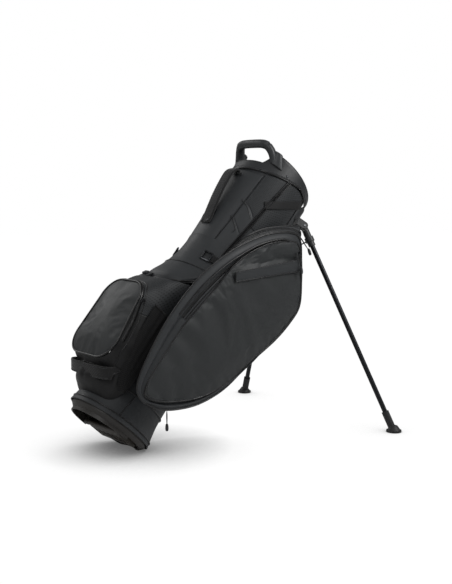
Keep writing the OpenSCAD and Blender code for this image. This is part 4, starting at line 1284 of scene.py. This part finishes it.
def makeSaddle():
    reach, clip = saddle["reach"], saddle["clip"]

    def place(u, v):
        off = reach * abs(2 * u - 1)
        a = math.radians(180 + reach * (2 * u - 1))
        r0, s0 = edgeAt(off)
        s = s0 + (saddle["top"] - s0) * v
        r = max(saddleRadius(s), radiusAt(s) + 2.2)
        first = max(r0, radiusAt(s0) + 1.5)
        r = first + (r - first) * min(1, v * 9) if v < 0.12 else r
        edge = eased(min(u, 1 - u) * 16)
        r = radiusAt(s) + 0.8 + (r - radiusAt(s) - 0.8) * edge if v > 0.1 else r
        dip = 1.4 * noise.noise(Vector((a * 3, s / 50, 2))) * edge
        return Vector(((r + dip) * math.cos(a), (r + dip) * math.sin(a), s))
    pad = finish(bentGrid(place, 100, 60, (210, 180)), "saddlePad", "coatedFabric",
                 solid=2)
    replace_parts(pad, "saddle")
    under, lower = [], []
    for k in range(81):
        off, a = reach * abs(2 * k / 80 - 1), math.radians(180 + reach * (2 * k / 80 - 1))
        r, s = edgeAt(off)
        r = max(r, radiusAt(s) + 1.5)
        under.append(Vector((r * math.cos(a), r * math.sin(a), s)))
        lower.append(Vector(((r - 0.8) * math.cos(a), (r - 0.8) * math.sin(a), s - 4.4)))
    strands("saddleWelt", [under, lower], 2.2, "pipingVinyl")
    seam = []
    for k in range(41):
        off = reach * 0.9 * (2 * k / 40 - 1)
        out = saddleRadius(saddle["seam"]) - radiusAt(saddle["seam"]) + 1.0
        seam.append(onTube(180 + off, saddle["seam"] + 6 * (off / 56) ** 2, out))
    strands("saddleSeam", [seam], 0.8, "pipingVinyl")
    # a small moulded clip at the tip of the saddle
    turn = Matrix.Translation(clip["place"]) @ Matrix.Rotation(math.radians(clip["turn"]), 4, "Y")
    bm = bmesh.new()
    bmesh.ops.create_cube(bm, size=1, matrix=turn @ Matrix.Diagonal((*clip["base"], 1)))
    bmesh.ops.create_cube(bm, size=1, matrix=turn @ Matrix.Translation((3, 0, 6))
                          @ Matrix.Diagonal((*clip["keeper"], 1)))
    bmesh.ops.bevel(bm, geom=bm.edges[:], offset=1.4, segments=3, profile=0.5, affect="EDGES", material=-1)
    finish(bm, "saddleClip", "mouldedNylon", placed=True)


bottleSleeve = {"foot": 70, "high": 222, "bow": 7, "pleat": 1.3, "binding": 2.0}


def makeSleeves():
    for side, word in ((near, "near"), (far, "far")):
        def place(u, v):
            back = Vector((-146 + 12 * (1 - v) + 40 * (1 - v) ** 5, side * 95, 0))
            front = Vector((-84 + 6 * v, side * (112 + 8 * v), 0))
            s = (bottleSleeve["foot"] + bottleSleeve["high"] * v) + 6 * math.sin(math.pi * u) * (1 - v)
            bow = bottleSleeve["bow"] * math.sin(math.pi * u) * (0.5 + 0.5 * v)
            pleat = bottleSleeve["pleat"] * math.sin(26 * u + 2 * v) * math.sin(math.pi * u) * v
            q = back.lerp(front, u)
            return Vector((q.x - (bow + pleat) * 0.35, q.y + side * (bow + pleat), s - 14 * u * v + 6 * v))
        piece = finish(bentGrid(place, 70, 60, (70, 220)), word + "BottleSleeve", "knitMesh",
                       solid=1)
        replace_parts(piece, word + "_bottle_sleeve")
        rim = [place(k / 40, 1) for k in range(41)]
        strands(word + "SleeveBinding", [rim], bottleSleeve["binding"], "nylonWebbing")


makeBallPocket()
makeSaddle()
makeSleeves()
print("ball pocket, saddle and sleeves made")


# Inside
sheets = {"wide": 139, "long": 750, "middle": 425, "loose": 2.5}


# Two crossed sheets of lining hang under the divider and keep the clubs apart
def makeSleeveSheets():
    bm = bmesh.new()
    for turn in (0, 90):
        bmesh.ops.create_grid(bm, x_segments=24, y_segments=80, size=0.5,
                              matrix=Matrix.Rotation(math.radians(turn), 4, "Z")
                              @ Matrix.Translation((0, 0, sheets["middle"]))
                              @ Matrix.Rotation(math.radians(90), 4, "X")
                              @ Matrix.Diagonal((sheets["wide"], sheets["long"], 1, 1)))
    bm.normal_update()
    for v in bm.verts:
        loose = min(1, math.hypot(v.co.x, v.co.y) / 30) * min(1, max(0, 800 - v.co.z) / 60)
        v.co += v.normal * sheets["loose"] * loose * noise.noise(v.co / 60)
    piece = finish(bm, "dividerSheets", "liningFabric", solid=1.2, inward=0)
    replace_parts(piece, "divider_sleeves")


makeSleeveSheets()

# Finishes for the pieces that stay as made
nodeFinish = {
    "mouldedNylon": ["top_divider", "leg_bracket", "near_leg_socket", "far_leg_socket", "near_leg_clip",
                     "far_leg_clip", "actuator_guide"],
    "footRubber": ["near_leg_foot", "far_leg_foot"],
    "baseRubber": ["base_cup"],
    "paddlePlastic": ["foot_paddle"],
    "anodisedAluminium": ["near_leg_tube", "far_leg_tube"],
    "stayComposite": ["stay_rods"],
    "platedSteel": ["pivot_pins", "paddle_pin", "actuator_rods", "near_link", "far_link"],
    "blackNickel": ["collar_rivets"]}
for look, names in nodeFinish.items():
    for name in names:
        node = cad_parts[name]
        node.data.materials.clear()
        node.data.materials.append(finishes[look])
print("finishes set")

low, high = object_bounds()
for word, a, b in zip("xyz", (low - cadLow) * 1000, (high - cadHigh) * 1000):
    print("box change along", word, round(a, 1), round(b, 1), "mm")
